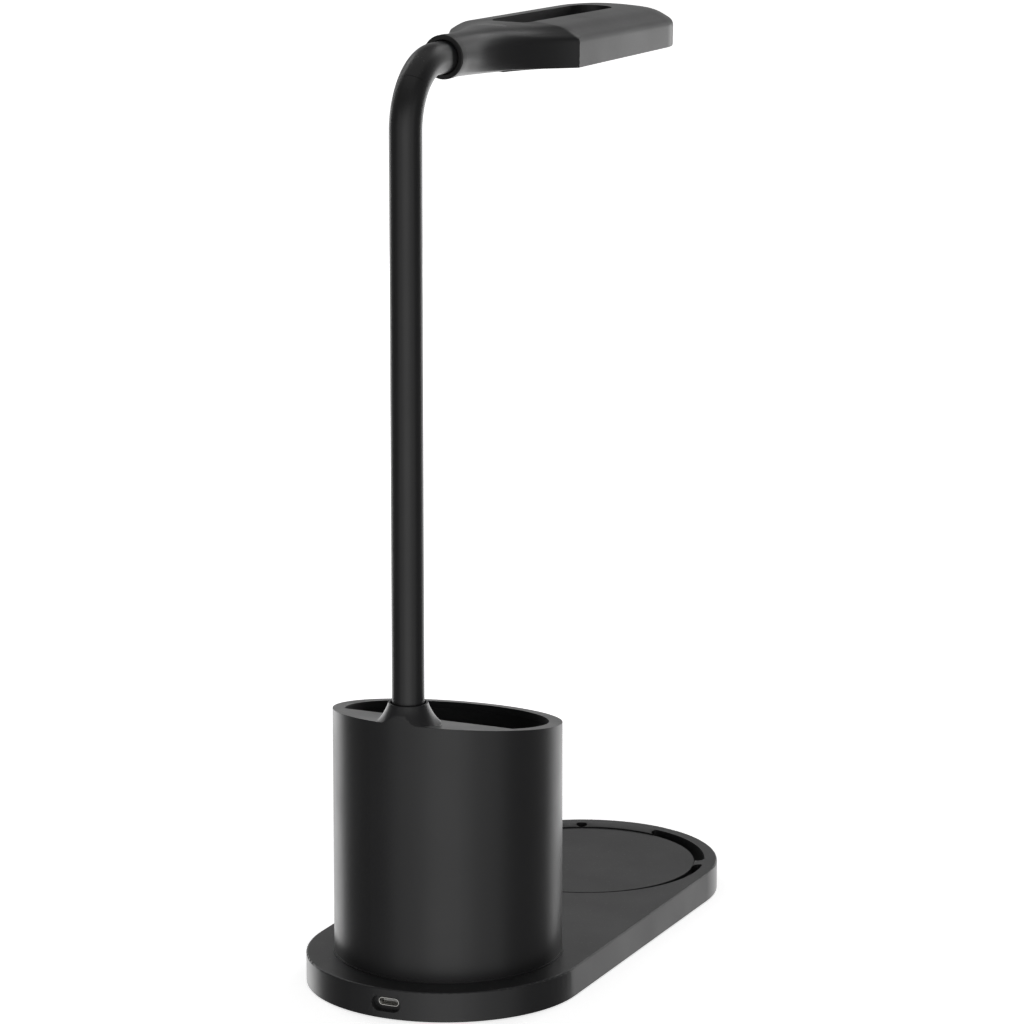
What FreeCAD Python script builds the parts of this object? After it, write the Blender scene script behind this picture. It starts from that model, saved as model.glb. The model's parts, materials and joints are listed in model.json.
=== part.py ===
"""Desk lamp with a pen cup and a round charging pad on one long base.

Millimetres, +Z up. The origin is the middle of the base's footprint on the table.
+X runs from the pen cup to the charging pad, and the XZ plane is the mirror plane.
"""
import FreeCAD, Part
import math
import os

from FreeCAD import Matrix, Vector

# ---------------------------------------------------------------- driving dimensions
# Base
END_RADIUS = 57.2            # half the base's width, and the radius of its round ends
END_SPACING = 139.4          # between the centres of the two round ends
BASE_HEIGHT = 12.3           # housing alone, without the feet
FOOT_PROUD = 0.7             # how far the feet stand below the housing
BASE_EDGE = 0.9              # rounding of the housing's top edge
SHELL_WALL = 2.4             # housing's side wall and roof
COVER_THICK = 2.0
COVER_GAP = 0.25             # cover to the housing's wall
FOOT_RADIUS = 7.0
FOOT_SEAT = 1.0              # depth of a foot's seat in the cover
FOOT_INSET = 19.2            # foot's middle inside the base's edge
FOOT_ANGLE = 45.0
SEAT_GAP = 0.1               # around each foot in its seat

# Charging pad
PAD_MARGIN = 10.0            # pad's edge inside the base's edge
PAD_THICK = 2.0
PAD_DROP = 1.15              # pad's face below the base's top
PAD_GAP = 0.35               # round the pad
LEDGE = 3.45                 # width of the ledge that carries the pad
RING_WIDTH = 4.2             # bevelled ring round the pad, and the arc slots in it
RING_STEP = 0.5              # from the ring's inner edge down to the pad
COLLAR_HEIGHT = 9.4          # depth of the ring's block under the base's top
SLOT_DEPTH = 8.0
SLOT_SPANS = ((22.3, 27.8), (35.0, 70.5), (77.0, 176.0), (184.0, 283.0), (289.5, 347.0))
COIL_INNER = 10.0
COIL_OUTER = 21.0
COIL_THICK = 1.2
FERRITE_RADIUS = 23.0
FERRITE_THICK = 0.8
CHARGER_RADIUS = 36.0
BOARD_THICK = 1.6
CHIP_SIZE = 5.0
CHIP_THICK = 1.2
CHIP_ANGLES = (30.0, 150.0, 270.0)
POST_RADIUS = 2.5

# Ballast and inlet
BALLAST_LENGTH = 92.0
BALLAST_WIDTH = 76.0
BALLAST_THICK = 4.0
BALLAST_CORNER = 8.0
BALLAST_FRONT = 0.0          # x of the ballast's pad-side edge
PORT_WIDTH = 12.8            # plug recess, across
PORT_TALL = 6.5
PORT_DEPTH = 3.0             # from the base's end to the socket's mouth
PORT_RISE = 6.0              # recess's middle above the housing's bottom edge
PORT_FLOOR = 1.5
SOCKET_WIDTH = 8.94
SOCKET_TALL = 3.26
SOCKET_LENGTH = 7.3
SOCKET_SKIN = 0.3
SOCKET_GAP = 0.15
TONGUE_WIDTH = 6.7
TONGUE_THICK = 0.7
TONGUE_LENGTH = 4.6
INLET_BOARD_LENGTH = 22.0
INLET_BOARD_WIDTH = 16.0
INLET_BOARD_THICK = 1.2
LEAD_RADIUS = 1.4
PAD_LEAD_RADIUS = 0.9
PAD_LEAD_SIDE = 8.0          # y of the lead that runs to the charger

# Pen cup
CUP_RADIUS = 46.4
CUP_OFFSET = 1.54            # cup's axis from the end's centre, towards the pad
CUP_WALL = 2.4
CUP_BEAD = 0.5               # how far the bead round the cup's foot stands out
CUP_BEAD_HEIGHT = 0.7
RIM_RISE = 98.43             # rim above the base's top, at the cup's axis
RIM_SLOPE = -0.16            # rise per millimetre along +X
RIM_THICK = 3.0
RIM_WIDTH = 5.2              # between the cup's side and the mouth
MOUTH_OFFSET = -0.6          # mouth's centre from the cup's axis
LAND_WIDTH = 27.95           # land behind the mouth's straight side, which carries the stem
LINER_WALL = 1.6
LINER_STEP = 0.3             # liner stands back from the mouth's edge
LINER_FLOOR = 2.0
LINER_RAISE = 6.0            # liner's floor above the base, on its screw posts
LINER_POST_REACH = 25.0
LINER_POST_ANGLES = (0.0, 120.0, 240.0)
CUP_POST_INSET = 5.4         # screw posts inside the cup's side
CUP_POST_ANGLES = (152.0, 208.0)
CUP_POST_HEIGHT = 12.0
SCREW_POST_RADIUS = 3.5
SPIGOT_HEIGHT = 2.0
SPIGOT_WALL = 1.5
SPIGOT_GAP = 0.15

# Stem
STEM_INSET = 9.82            # stem's axis inside the cup's back
SLEEVE_RADIUS = 6.5
SLEEVE_BORE = 4.1
CORE_RADIUS = 4.0
CORE_BORE = 2.2
STRAIGHT_TOP = 340.78        # top of the straight stem above the base's top
BEND_RADIUS = 25.1
HEAD_TILT = 2.3              # head's pitch below level, degrees
BOOT_RISE = 8.42             # boot's mouth above the land, at the stem's axis
BOOT_TOP_RADIUS = 7.9
BOOT_FOOT_RADIUS = 13.2
BOOT_HEIGHT = 8.6
BOOT_MOUTH = 7.2
SLEEVE_SEAT_DEPTH = 5.2      # sleeve's end below the boot's mouth
FLANGE_THICK = 1.5
FLANGE_GAP = 0.2
THREAD_RADIUS = 5.0
THREAD_GAP = 0.15
CRIMP_GAP = 0.05             # core in its ferrules
BOSS_RADIUS = 11.0
BOSS_DEPTH = 11.28           # flat underside of the boss, below the land
FERRULE_TAIL = 9.0           # ferrule below that face
NUT_FLATS = 14.0
NUT_THICK = 5.0
WASHER_RADIUS = 7.0
WASHER_THICK = 1.0

# Flexing points of the gooseneck: height above the last one, or angle round the bend
LEAN_RISE = 28.3             # above the boot's mouth
SWAY_RISE = 36.0
NECK_ANGLE_LOW = 20.0
NECK_ANGLE_HIGH = 68.0
BALL_RADIUS = 7.0
BALL_GAP = 0.3

# Lamp head, measured along the neck's axis from the end of the bend
COLLAR_START = 7.5
COLLAR_LENGTH = 5.0
COLLAR_BACK = 1.8            # collar's inner shoulder
COLLAR_RADIUS = 8.8
SLEEVE_GAP = 0.1             # sleeve in the collar
NECK_RADIUS = 8.6
FLARE_START = 22.0
FLARE_RADIUS = 79.0
HEAD_HALF_WIDTH = 29.0
HEAD_END = 194.0
HEAD_CORNER = 28.0
HEAD_BOTTOM = -8.7
HEAD_SLOPE = -0.0136         # fall of the head's upper faces towards its end
SIDE_TOP = 3.2               # top of the side wall at the shoulder corner
BEVEL = 7.0
BEVEL_TOP = 7.5              # top of the bevel there
CAMBER = 20.0                # from the side to the flat crown, across bevel and camber
CROWN = 9.1
HEAD_WALL = 1.8
ROOF_WALL = 2.0
NECK_WALL_LENGTH = 7.5       # solid neck that the ferrule passes through
NECK_CAVITY = 7.2
NECK_NUT_FLATS = 12.0
NECK_NUT_THICK = 4.0
NECK_TAIL = 1.0              # ferrule beyond its nut
CAVITY_START = 43.8
WINDOW_START = 66.0          # slot through the head
WINDOW_LENGTH = 94.0
WINDOW_WIDTH = 18.0
WINDOW_WALL = 1.6
FRAME_THICK = 1.8
FRAME_GAP = 0.2
FRAME_START = 44.0
FRAME_RIM_HEIGHT = 3.3
FRAME_RIM = 1.2
DIFFUSER_BORDER = 4.0        # frame left outside the diffuser
DIFFUSER_CLEAR = 6.0         # between the screws' middles and the diffuser's ends
DIFFUSER_LIP = 1.0
DIFFUSER_GAP = 0.15
DIFFUSER_INSET = 0.2         # diffuser's face above the frame's face
LED_BOARD_THICK = 1.2
LED_LENGTH = 3.5
LED_WIDTH = 2.8
LED_THICK = 0.7
LED_PITCH = 9.5
LED_ROW = 18.6               # y of each row of LEDs
LED_COUNT = 10
LED_FIRST = 72.0
HEAD_POST_RADIUS = 2.6
HEAD_POST_NEAR = 54.0        # the two posts in the shoulder
HEAD_POST_NEAR_INSET = 6.9   # their distance from the shoulder's side
HEAD_POST_END_INSET = 11.5   # the other two, inside the head's end
HEAD_POST_END_SIDE = 9.0
TOUCH_CENTRE = 53.0
TOUCH_LENGTH = 13.0
TOUCH_WIDTH = 6.5
TOUCH_THICK = 0.8
TOUCH_GAP = 0.1
TOUCH_BOARD_THICK = 1.0
TOUCH_BOARD_SIDE = 9.0
TOP_SQUARENESS = 1.1         # of the shoulder's section where it meets the block
BOTTOM_SQUARENESS = 10.0
SECTION_STEPS = 24           # corners of a cross-section of the neck and shoulders
SHOULDER_STEPS = 7           # slices from the collar to the shoulder's end

# Screws
SCREW_RADIUS = 1.45
SCREW_HEAD_RADIUS = 2.75
SCREW_HEAD = 2.0
SCREW_GRIP = 6.5             # length in its post
SCREW_GAP = 0.05             # thread-forming screw in its hole
SMALL_SCREW_RADIUS = 1.2
SMALL_SCREW_HEAD_RADIUS = 2.2
SMALL_SCREW_HEAD = 0.9
SMALL_SCREW_GRIP = 5.0
COVER_SCREW_INSET = 8.2      # inside the base's edge
COVER_SCREW_NEAR_ANGLE = 125.0
COVER_SCREW_MID = 9.0        # x of the two middle screws

# ---------------------------------------------------------------- derived places
BASE_BOTTOM = FOOT_PROUD
BASE_TOP = BASE_BOTTOM + BASE_HEIGHT
ROOF = BASE_TOP - SHELL_WALL
COVER_TOP = BASE_BOTTOM + COVER_THICK
NEAR_X = -END_SPACING / 2
FAR_X = END_SPACING / 2
INNER_RADIUS = END_RADIUS - SHELL_WALL

PAD_RADIUS = END_RADIUS - PAD_MARGIN
FOOT_REACH = END_RADIUS - FOOT_INSET
COVER_SCREW_REACH = END_RADIUS - COVER_SCREW_INSET
PAD_TOP = BASE_TOP - PAD_DROP
PAD_BOTTOM = PAD_TOP - PAD_THICK
SEAT_RADIUS = PAD_RADIUS + PAD_GAP
LEDGE_RADIUS = SEAT_RADIUS - LEDGE
RING_RADIUS = SEAT_RADIUS + RING_WIDTH
COLLAR_BOTTOM = BASE_TOP - COLLAR_HEIGHT
SLOT_FLOOR = BASE_TOP - SLOT_DEPTH
COIL_BOTTOM = PAD_BOTTOM - COIL_THICK
FERRITE_BOTTOM = COIL_BOTTOM - FERRITE_THICK
CHARGER_BOTTOM = FERRITE_BOTTOM - BOARD_THICK
CHARGER_POST_REACH = CHARGER_RADIUS - 2 * POST_RADIUS

BALLAST_TOP = COVER_TOP + BALLAST_THICK
BASE_END_X = NEAR_X - END_RADIUS
PORT_Z = BASE_BOTTOM + PORT_RISE
SOCKET_X = BASE_END_X + PORT_DEPTH
INLET_BOARD_TOP = PORT_Z - SOCKET_TALL / 2
INLET_BOARD_BOTTOM = INLET_BOARD_TOP - INLET_BOARD_THICK

CUP_X = NEAR_X + CUP_OFFSET
MOUTH_X = CUP_X + MOUTH_OFFSET
MOUTH_RADIUS = CUP_RADIUS - RIM_WIDTH
CHORD_X = CUP_X - CUP_RADIUS + LAND_WIDTH
CUP_POST_REACH = CUP_RADIUS - CUP_POST_INSET
RIM_Z = BASE_TOP + RIM_RISE
RIM_ANGLE = math.degrees(math.atan(RIM_SLOPE))
LINER_BOTTOM = BASE_TOP + LINER_RAISE
CUP_CEILING = 2 * RIM_RISE   # taller than the cup, before its slanted cut

STEM_X = CUP_X - CUP_RADIUS + STEM_INSET
LAND_Z = RIM_Z + RIM_SLOPE * (STEM_X - CUP_X)
BEND_Z = BASE_TOP + STRAIGHT_TOP
BEND_ANGLE = 90.0 + HEAD_TILT
BEND_CENTRE = Vector(STEM_X + BEND_RADIUS, 0, BEND_Z)
BOOT_TOP = LAND_Z + BOOT_RISE
FLANGE_TOP = BOOT_TOP - SLEEVE_SEAT_DEPTH
FLANGE_BOTTOM = FLANGE_TOP - FLANGE_THICK
BOSS_BOTTOM = LAND_Z - BOSS_DEPTH
FERRULE_BOTTOM = BOSS_BOTTOM - FERRULE_TAIL
WASHER_BOTTOM = BOSS_BOTTOM - WASHER_THICK

COLLAR_END = COLLAR_START + COLLAR_LENGTH
SLEEVE_END = COLLAR_END - COLLAR_BACK
NECK_WALL_END = COLLAR_END + NECK_WALL_LENGTH
NECK_FERRULE_END = NECK_WALL_END + NECK_NUT_THICK + NECK_TAIL
FRAME_TOP = HEAD_BOTTOM + FRAME_THICK
LED_BOARD_BOTTOM = FRAME_TOP + FRAME_RIM_HEIGHT
LED_BOARD_TOP = LED_BOARD_BOTTOM + LED_BOARD_THICK
FLARE_CENTRE_V = NECK_RADIUS + FLARE_RADIUS
REACH = 1000.0               # larger than the lamp, for half spaces

UP = Vector(0, 0, 1)
ALONG = Vector(1, 0, 0)
ACROSS = Vector(0, 1, 0)


# ---------------------------------------------------------------- shared shapes
def rod(radius, x, y, bottom, top):
    """Upright cylinder."""
    return Part.makeCylinder(radius, top - bottom, Vector(x, y, bottom), UP)


def tube(outer, inner, x, y, bottom, top):
    """Upright tube."""
    return rod(outer, x, y, bottom, top).cut(rod(inner, x, y, bottom, top))


def lying_rod(radius, start, end, y=0.0, z=0.0):
    """Cylinder along X."""
    return Part.makeCylinder(radius, end - start, Vector(start, y, z), ALONG)


def slab(x_low, x_high, half_width, bottom, top):
    """Box that is symmetric about the XZ plane."""
    corner = Vector(x_low, -half_width, bottom)
    return Part.makeBox(x_high - x_low, 2 * half_width, top - bottom, corner)


def stadium(half_spacing, radius, bottom, top, middle=0.0):
    """Upright prism with two round ends on the X axis."""
    body = slab(middle - half_spacing, middle + half_spacing, radius, bottom, top)
    for x in (middle - half_spacing, middle + half_spacing):
        body = body.fuse(rod(radius, x, 0, bottom, top))
    return body.removeSplitter()


def lying_stadium(width, tall, x_low, x_high, z):
    """Prism along X with round sides, as the mouth of a plug socket."""
    radius = tall / 2
    side = width / 2 - radius
    body = slab(x_low, x_high, side, z - radius, z + radius)
    for y in (-side, side):
        body = body.fuse(lying_rod(radius, x_low, x_high, y, z))
    return body.removeSplitter()


def hexagon(flats, height):
    """Hexagonal prism on the origin, with two flats square to X."""
    radius = flats / 2 / math.cos(math.radians(30))
    angles = [math.radians(30 + 60 * step) for step in range(7)]
    corners = [Vector(radius * math.cos(a), radius * math.sin(a), 0) for a in angles]
    return Part.Face(Part.makePolygon(corners)).extrude(Vector(0, 0, height))


def ring_points(centre_x, reach, angles, centre_y=0.0):
    """Places round a centre, at the given angles from +X."""
    turns = [math.radians(angle) for angle in angles]
    return [(centre_x + reach * math.cos(t), centre_y + reach * math.sin(t)) for t in turns]


def fuse_all(shapes):
    """One shape from several that touch."""
    body = shapes[0]
    for other in shapes[1:]:
        body = body.fuse(other)
    return body.removeSplitter()


def save(name, shape):
    """Write one node."""
    shape.exportStep("parts/" + name + ".step")


# ---------------------------------------------------------------- places that pieces share
def cover_screw_places():
    """Screws that hold the cover: two near the cup, two midway and one by the pad."""
    near_angles = (COVER_SCREW_NEAR_ANGLE, -COVER_SCREW_NEAR_ANGLE)
    near = ring_points(NEAR_X, COVER_SCREW_REACH, near_angles)
    middle = [(COVER_SCREW_MID, COVER_SCREW_REACH), (COVER_SCREW_MID, -COVER_SCREW_REACH)]
    return near + middle + [(FAR_X + COVER_SCREW_REACH, 0.0)]


def liner_post_places():
    return ring_points(CUP_X, LINER_POST_REACH, LINER_POST_ANGLES)


def cup_post_places():
    return ring_points(CUP_X, CUP_POST_REACH, CUP_POST_ANGLES)


def foot_places():
    near_angles = (180 - FOOT_ANGLE, 180 + FOOT_ANGLE)
    near = ring_points(NEAR_X, FOOT_REACH, near_angles)
    return near + ring_points(FAR_X, FOOT_REACH, (FOOT_ANGLE, -FOOT_ANGLE))


# ---------------------------------------------------------------- base
def arc_slot(start, end):
    """Slot with round ends in the ring round the pad, between two angles."""
    middle = (SEAT_RADIUS + RING_RADIUS) / 2
    end_radius = RING_WIDTH / 2
    top = BASE_TOP + BASE_EDGE
    first = start + math.degrees(end_radius / middle)
    last = end - math.degrees(end_radius / middle)
    corners = [Vector(SEAT_RADIUS, 0, SLOT_FLOOR), Vector(RING_RADIUS, 0, SLOT_FLOOR)]
    corners += [Vector(RING_RADIUS, 0, top), Vector(SEAT_RADIUS, 0, top)]
    section = Part.Face(Part.makePolygon(corners + corners[:1]))
    body = section.revolve(Vector(0, 0, 0), UP, last - first)
    body.rotate(Vector(0, 0, 0), UP, first)
    body.translate(Vector(FAR_X, 0, 0))
    ends = ring_points(FAR_X, middle, (first, last))
    return fuse_all([body] + [rod(end_radius, x, y, SLOT_FLOOR, top) for x, y in ends])


def base_housing():
    """Upper moulding: roof, skirt, pad seat, plug recess and screw bosses."""
    shell = stadium(END_SPACING / 2, END_RADIUS, BASE_BOTTOM, BASE_TOP)
    rim = [edge for edge in shell.Edges if edge.BoundBox.ZMin > BASE_TOP - BASE_EDGE]
    shell = shell.makeFillet(BASE_EDGE, rim)
    shell = shell.cut(stadium(END_SPACING / 2, INNER_RADIUS, BASE_BOTTOM, ROOF))

    overlap = SHELL_WALL / 2
    additions = [tube(INNER_RADIUS + overlap, LEDGE_RADIUS, FAR_X, 0, COLLAR_BOTTOM, ROOF)]
    block_half = PORT_WIDTH / 2 + SHELL_WALL
    block_end = SOCKET_X + PORT_FLOOR
    additions.append(slab(BASE_END_X + overlap, block_end, block_half, COVER_TOP, ROOF))
    for x, y in cover_screw_places()[:-1]:
        additions.append(rod(SCREW_POST_RADIUS, x, y, COVER_TOP, ROOF))
    spigot_outer = CUP_RADIUS - CUP_WALL - SPIGOT_GAP
    spigot = tube(spigot_outer, spigot_outer - SPIGOT_WALL, CUP_X, 0, BASE_TOP, BASE_TOP + SPIGOT_HEIGHT)
    for x, y in cup_post_places():
        spigot = spigot.cut(rod(SCREW_POST_RADIUS + COVER_GAP, x, y, BASE_TOP, BASE_TOP + SPIGOT_HEIGHT))
    additions.append(spigot)
    shell = fuse_all([shell] + additions)
    envelope = stadium(END_SPACING / 2, END_RADIUS, BASE_BOTTOM, RIM_Z)
    shell = shell.common(envelope)

    cuts = [rod(LEDGE_RADIUS, FAR_X, 0, BASE_BOTTOM, BASE_TOP)]
    cuts.append(rod(SEAT_RADIUS, FAR_X, 0, PAD_BOTTOM, BASE_TOP))
    ring_inner = Vector(FAR_X, 0, PAD_TOP + RING_STEP)
    cuts.append(Part.makeCone(SEAT_RADIUS, RING_RADIUS, PAD_DROP - RING_STEP, ring_inner, UP))
    cuts += [arc_slot(start, end) for start, end in SLOT_SPANS]
    cuts.append(lying_stadium(PORT_WIDTH, PORT_TALL, BASE_END_X - PORT_DEPTH, SOCKET_X, PORT_Z))
    hole_width = SOCKET_WIDTH + 2 * SOCKET_GAP
    hole_tall = SOCKET_TALL + 2 * SOCKET_GAP
    cuts.append(lying_stadium(hole_width, hole_tall, SOCKET_X, block_end, PORT_Z))
    for x, y in cover_screw_places():
        cuts.append(rod(SCREW_RADIUS + SCREW_GAP, x, y, BASE_BOTTOM, COVER_TOP + SCREW_GRIP))
    for x, y in liner_post_places() + cup_post_places():
        cuts.append(rod(SCREW_RADIUS + SCREW_GAP, x, y, ROOF, BASE_TOP + SPIGOT_HEIGHT))
    cuts.append(rod(2 * LEAD_RADIUS, STEM_X, 0, ROOF, BASE_TOP))
    lead_z = BALLAST_TOP + PAD_LEAD_RADIUS
    lead_hole = PAD_LEAD_RADIUS + COVER_GAP
    cuts.append(lying_rod(lead_hole, FAR_X - END_RADIUS, FAR_X - CHARGER_RADIUS, PAD_LEAD_SIDE, lead_z))
    for cut in cuts:
        shell = shell.cut(cut)
    return shell


def base_cover():
    """Flat underside plate with the foot seats and the posts for both boards."""
    plate = stadium(END_SPACING / 2, INNER_RADIUS - COVER_GAP, BASE_BOTTOM, COVER_TOP)
    posts = []
    for x, y in ring_points(FAR_X, CHARGER_POST_REACH, (45.0, 135.0, 225.0, 315.0)):
        posts.append(rod(POST_RADIUS, x, y, COVER_TOP, CHARGER_BOTTOM))
    rail_half = INLET_BOARD_WIDTH / 2
    for side in (-1, 1):
        middle = side * (rail_half - POST_RADIUS)
        low = Vector(SOCKET_X + PORT_FLOOR, middle - POST_RADIUS / 2, COVER_TOP)
        rail_length = INLET_BOARD_LENGTH - PORT_FLOOR
        posts.append(Part.makeBox(rail_length, POST_RADIUS, INLET_BOARD_BOTTOM - COVER_TOP, low))
    plate = fuse_all([plate] + posts)
    for x, y in foot_places():
        plate = plate.cut(rod(FOOT_RADIUS + SEAT_GAP, x, y, BASE_BOTTOM, BASE_BOTTOM + FOOT_SEAT))
    for x, y in cover_screw_places():
        plate = plate.cut(rod(SCREW_RADIUS + COVER_GAP, x, y, BASE_BOTTOM, COVER_TOP))
        head_top = BASE_BOTTOM + SMALL_SCREW_HEAD + SEAT_GAP
        plate = plate.cut(rod(SCREW_HEAD_RADIUS + COVER_GAP, x, y, BASE_BOTTOM, head_top))
    return plate


def rubber_feet():
    top = BASE_BOTTOM + FOOT_SEAT
    return Part.makeCompound([rod(FOOT_RADIUS, x, y, 0, top) for x, y in foot_places()])


def cover_screws():
    screws = []
    head_bottom = BASE_BOTTOM + SEAT_GAP
    head_top = head_bottom + SMALL_SCREW_HEAD
    for x, y in cover_screw_places():
        head = rod(SCREW_HEAD_RADIUS, x, y, head_bottom, head_top)
        shank = rod(SCREW_RADIUS, x, y, head_top, COVER_TOP + SCREW_GRIP - SEAT_GAP)
        screws.append(fuse_all([head, shank]))
    return Part.makeCompound(screws)


def ballast_plate():
    """Steel weight under the cup that keeps the lamp upright."""
    low = BALLAST_FRONT - BALLAST_LENGTH
    plate = slab(low, BALLAST_FRONT, BALLAST_WIDTH / 2, COVER_TOP, BALLAST_TOP)
    uprights = [e for e in plate.Edges if e.BoundBox.ZLength > BALLAST_THICK / 2]
    return plate.makeFillet(BALLAST_CORNER, uprights)


def pad_disc():
    return rod(PAD_RADIUS, FAR_X, 0, PAD_BOTTOM, PAD_TOP)


def charging_coil():
    return tube(COIL_OUTER, COIL_INNER, FAR_X, 0, COIL_BOTTOM, PAD_BOTTOM)


def ferrite_disc():
    return rod(FERRITE_RADIUS, FAR_X, 0, FERRITE_BOTTOM, COIL_BOTTOM)


def charger_board():
    return rod(CHARGER_RADIUS, FAR_X, 0, CHARGER_BOTTOM, FERRITE_BOTTOM)


def charger_chips():
    reach = (FERRITE_RADIUS + CHARGER_RADIUS) / 2
    chips = []
    for x, y in ring_points(FAR_X, reach, CHIP_ANGLES):
        low = Vector(x - CHIP_SIZE / 2, y - CHIP_SIZE / 2, FERRITE_BOTTOM)
        chips.append(Part.makeBox(CHIP_SIZE, CHIP_SIZE, CHIP_THICK, low))
    return Part.makeCompound(chips)


def inlet_board():
    return slab(SOCKET_X + PORT_FLOOR, SOCKET_X + PORT_FLOOR + INLET_BOARD_LENGTH,
                INLET_BOARD_WIDTH / 2, INLET_BOARD_BOTTOM, INLET_BOARD_TOP)


def socket_shell():
    """Pressed steel shell of the plug socket."""
    end = SOCKET_X + SOCKET_LENGTH
    shell = lying_stadium(SOCKET_WIDTH, SOCKET_TALL, SOCKET_X, end, PORT_Z)
    bore_width = SOCKET_WIDTH - 2 * SOCKET_SKIN
    bore_tall = SOCKET_TALL - 2 * SOCKET_SKIN
    return shell.cut(lying_stadium(bore_width, bore_tall, SOCKET_X, end, PORT_Z))


def socket_tongue():
    """Plastic tongue of the socket on the block that closes the shell's back."""
    end = SOCKET_X + SOCKET_LENGTH
    start = end - TONGUE_LENGTH - SOCKET_SKIN
    block_width = SOCKET_WIDTH - 2 * SOCKET_SKIN - SCREW_GAP
    block_tall = SOCKET_TALL - 2 * SOCKET_SKIN - SCREW_GAP
    block = lying_stadium(block_width, block_tall, end - PORT_FLOOR, end, PORT_Z)
    half = TONGUE_THICK / 2
    return block.fuse(slab(start, end - PORT_FLOOR, TONGUE_WIDTH / 2, PORT_Z - half, PORT_Z + half))


def pad_lead():
    """Lead that crosses the ballast to the charger."""
    start = SOCKET_X + INLET_BOARD_LENGTH
    end = FAR_X - CHARGER_RADIUS - COVER_GAP
    return lying_rod(PAD_LEAD_RADIUS, start, end, PAD_LEAD_SIDE, BALLAST_TOP + PAD_LEAD_RADIUS)


# ---------------------------------------------------------------- pen cup
def below_rim(drop):
    """Half space under the slanted rim, or under a plane that far below it."""
    block = Part.makeBox(2 * REACH, 2 * REACH, REACH, Vector(-REACH, -REACH, -REACH))
    block.rotate(Vector(0, 0, 0), ACROSS, -RIM_ANGLE)
    block.translate(Vector(CUP_X, 0, RIM_Z - drop))
    return block


def mouth_prism(grow, bottom, top):
    """D-shaped prism of the cup's mouth, grown outwards."""
    body = rod(MOUTH_RADIUS + grow, MOUTH_X, 0, bottom, top)
    return body.common(slab(CHORD_X - grow, CHORD_X + REACH, REACH, bottom, top))


def boot():
    """Waisted foot on the cup's land, out of which the stem rises."""
    bottom = BOOT_TOP - BOOT_HEIGHT
    half = (BOOT_TOP + bottom) / 2
    bulge = (BOOT_TOP_RADIUS + BOOT_FOOT_RADIUS) / 2 - BOOT_HEIGHT / 12
    foot = Vector(BOOT_FOOT_RADIUS, 0, bottom)
    mouth = Vector(BOOT_TOP_RADIUS, 0, BOOT_TOP)
    flank = Part.Arc(foot, Vector(bulge, 0, half), mouth).toShape()
    centre_line = Part.makePolygon([mouth, Vector(0, 0, BOOT_TOP), Vector(0, 0, bottom), foot])
    profile = Part.Face(Part.Wire([flank] + centre_line.Edges))
    body = profile.revolve(Vector(0, 0, 0), UP, 360)
    skirt = rod(BOOT_FOOT_RADIUS, 0, 0, BOSS_BOTTOM, bottom)
    body = body.fuse(skirt)
    body.translate(Vector(STEM_X, 0, 0))
    return body


def pen_cup_shell():
    """Outer moulding of the cup, with the slanted rim, the land and the stem's boot."""
    top = BASE_TOP + CUP_CEILING
    outer = rod(CUP_RADIUS, CUP_X, 0, BASE_TOP, top)
    inner = rod(CUP_RADIUS - CUP_WALL, CUP_X, 0, BASE_TOP, top)
    shell = outer.common(below_rim(0)).cut(inner.common(below_rim(RIM_THICK)))
    shell = shell.cut(mouth_prism(0, BASE_TOP, top))
    bead_top = BASE_TOP + CUP_BEAD_HEIGHT
    shell = shell.fuse(tube(CUP_RADIUS + CUP_BEAD, CUP_RADIUS - CUP_WALL / 2, CUP_X, 0, BASE_TOP, bead_top))
    boss = rod(BOSS_RADIUS, STEM_X, 0, BOSS_BOTTOM, BOOT_TOP).common(below_rim(0))
    land_side = slab(CUP_X - CUP_RADIUS, CHORD_X - LINER_WALL - 2 * LINER_STEP, CUP_RADIUS, BOSS_BOTTOM, top)
    boss = boss.fuse(boot()).common(land_side).common(outer)
    shell = shell.fuse(boss)
    for x, y in cup_post_places():
        post = rod(SCREW_POST_RADIUS, x, y, BASE_TOP, BASE_TOP + CUP_POST_HEIGHT).common(outer)
        shell = shell.fuse(post)
    shell = shell.removeSplitter()
    for x, y in cup_post_places():
        shell = shell.cut(rod(SCREW_RADIUS + SCREW_GAP, x, y, BASE_TOP, BASE_TOP + SCREW_GRIP))
    shell = shell.cut(rod(BOOT_MOUTH, STEM_X, 0, FLANGE_BOTTOM, top))
    return shell.cut(rod(THREAD_RADIUS + THREAD_GAP, STEM_X, 0, BOSS_BOTTOM, top))


def pen_cup_liner():
    """D-shaped inner bucket that holds the pens."""
    top = BASE_TOP + CUP_CEILING
    outside = mouth_prism(LINER_STEP + LINER_WALL, LINER_BOTTOM, top).common(below_rim(RIM_THICK))
    inside = mouth_prism(LINER_STEP, LINER_BOTTOM + LINER_FLOOR, top)
    bucket = outside.cut(inside)
    for x, y in liner_post_places():
        bucket = bucket.fuse(rod(SCREW_POST_RADIUS, x, y, BASE_TOP, LINER_BOTTOM))
    bucket = bucket.removeSplitter()
    for x, y in liner_post_places():
        bucket = bucket.cut(rod(SCREW_RADIUS + SCREW_GAP, x, y, BASE_TOP, BASE_TOP + SCREW_GRIP))
    return bucket


def cup_screws():
    """Screws from under the base's roof into the posts of the liner and the cup."""
    screws = []
    for x, y in liner_post_places() + cup_post_places():
        head = rod(SCREW_HEAD_RADIUS, x, y, ROOF - SCREW_HEAD, ROOF)
        shank = rod(SCREW_RADIUS, x, y, ROOF, BASE_TOP + SCREW_GRIP - SEAT_GAP)
        screws.append(fuse_all([head, shank]))
    return Part.makeCompound(screws)


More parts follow.
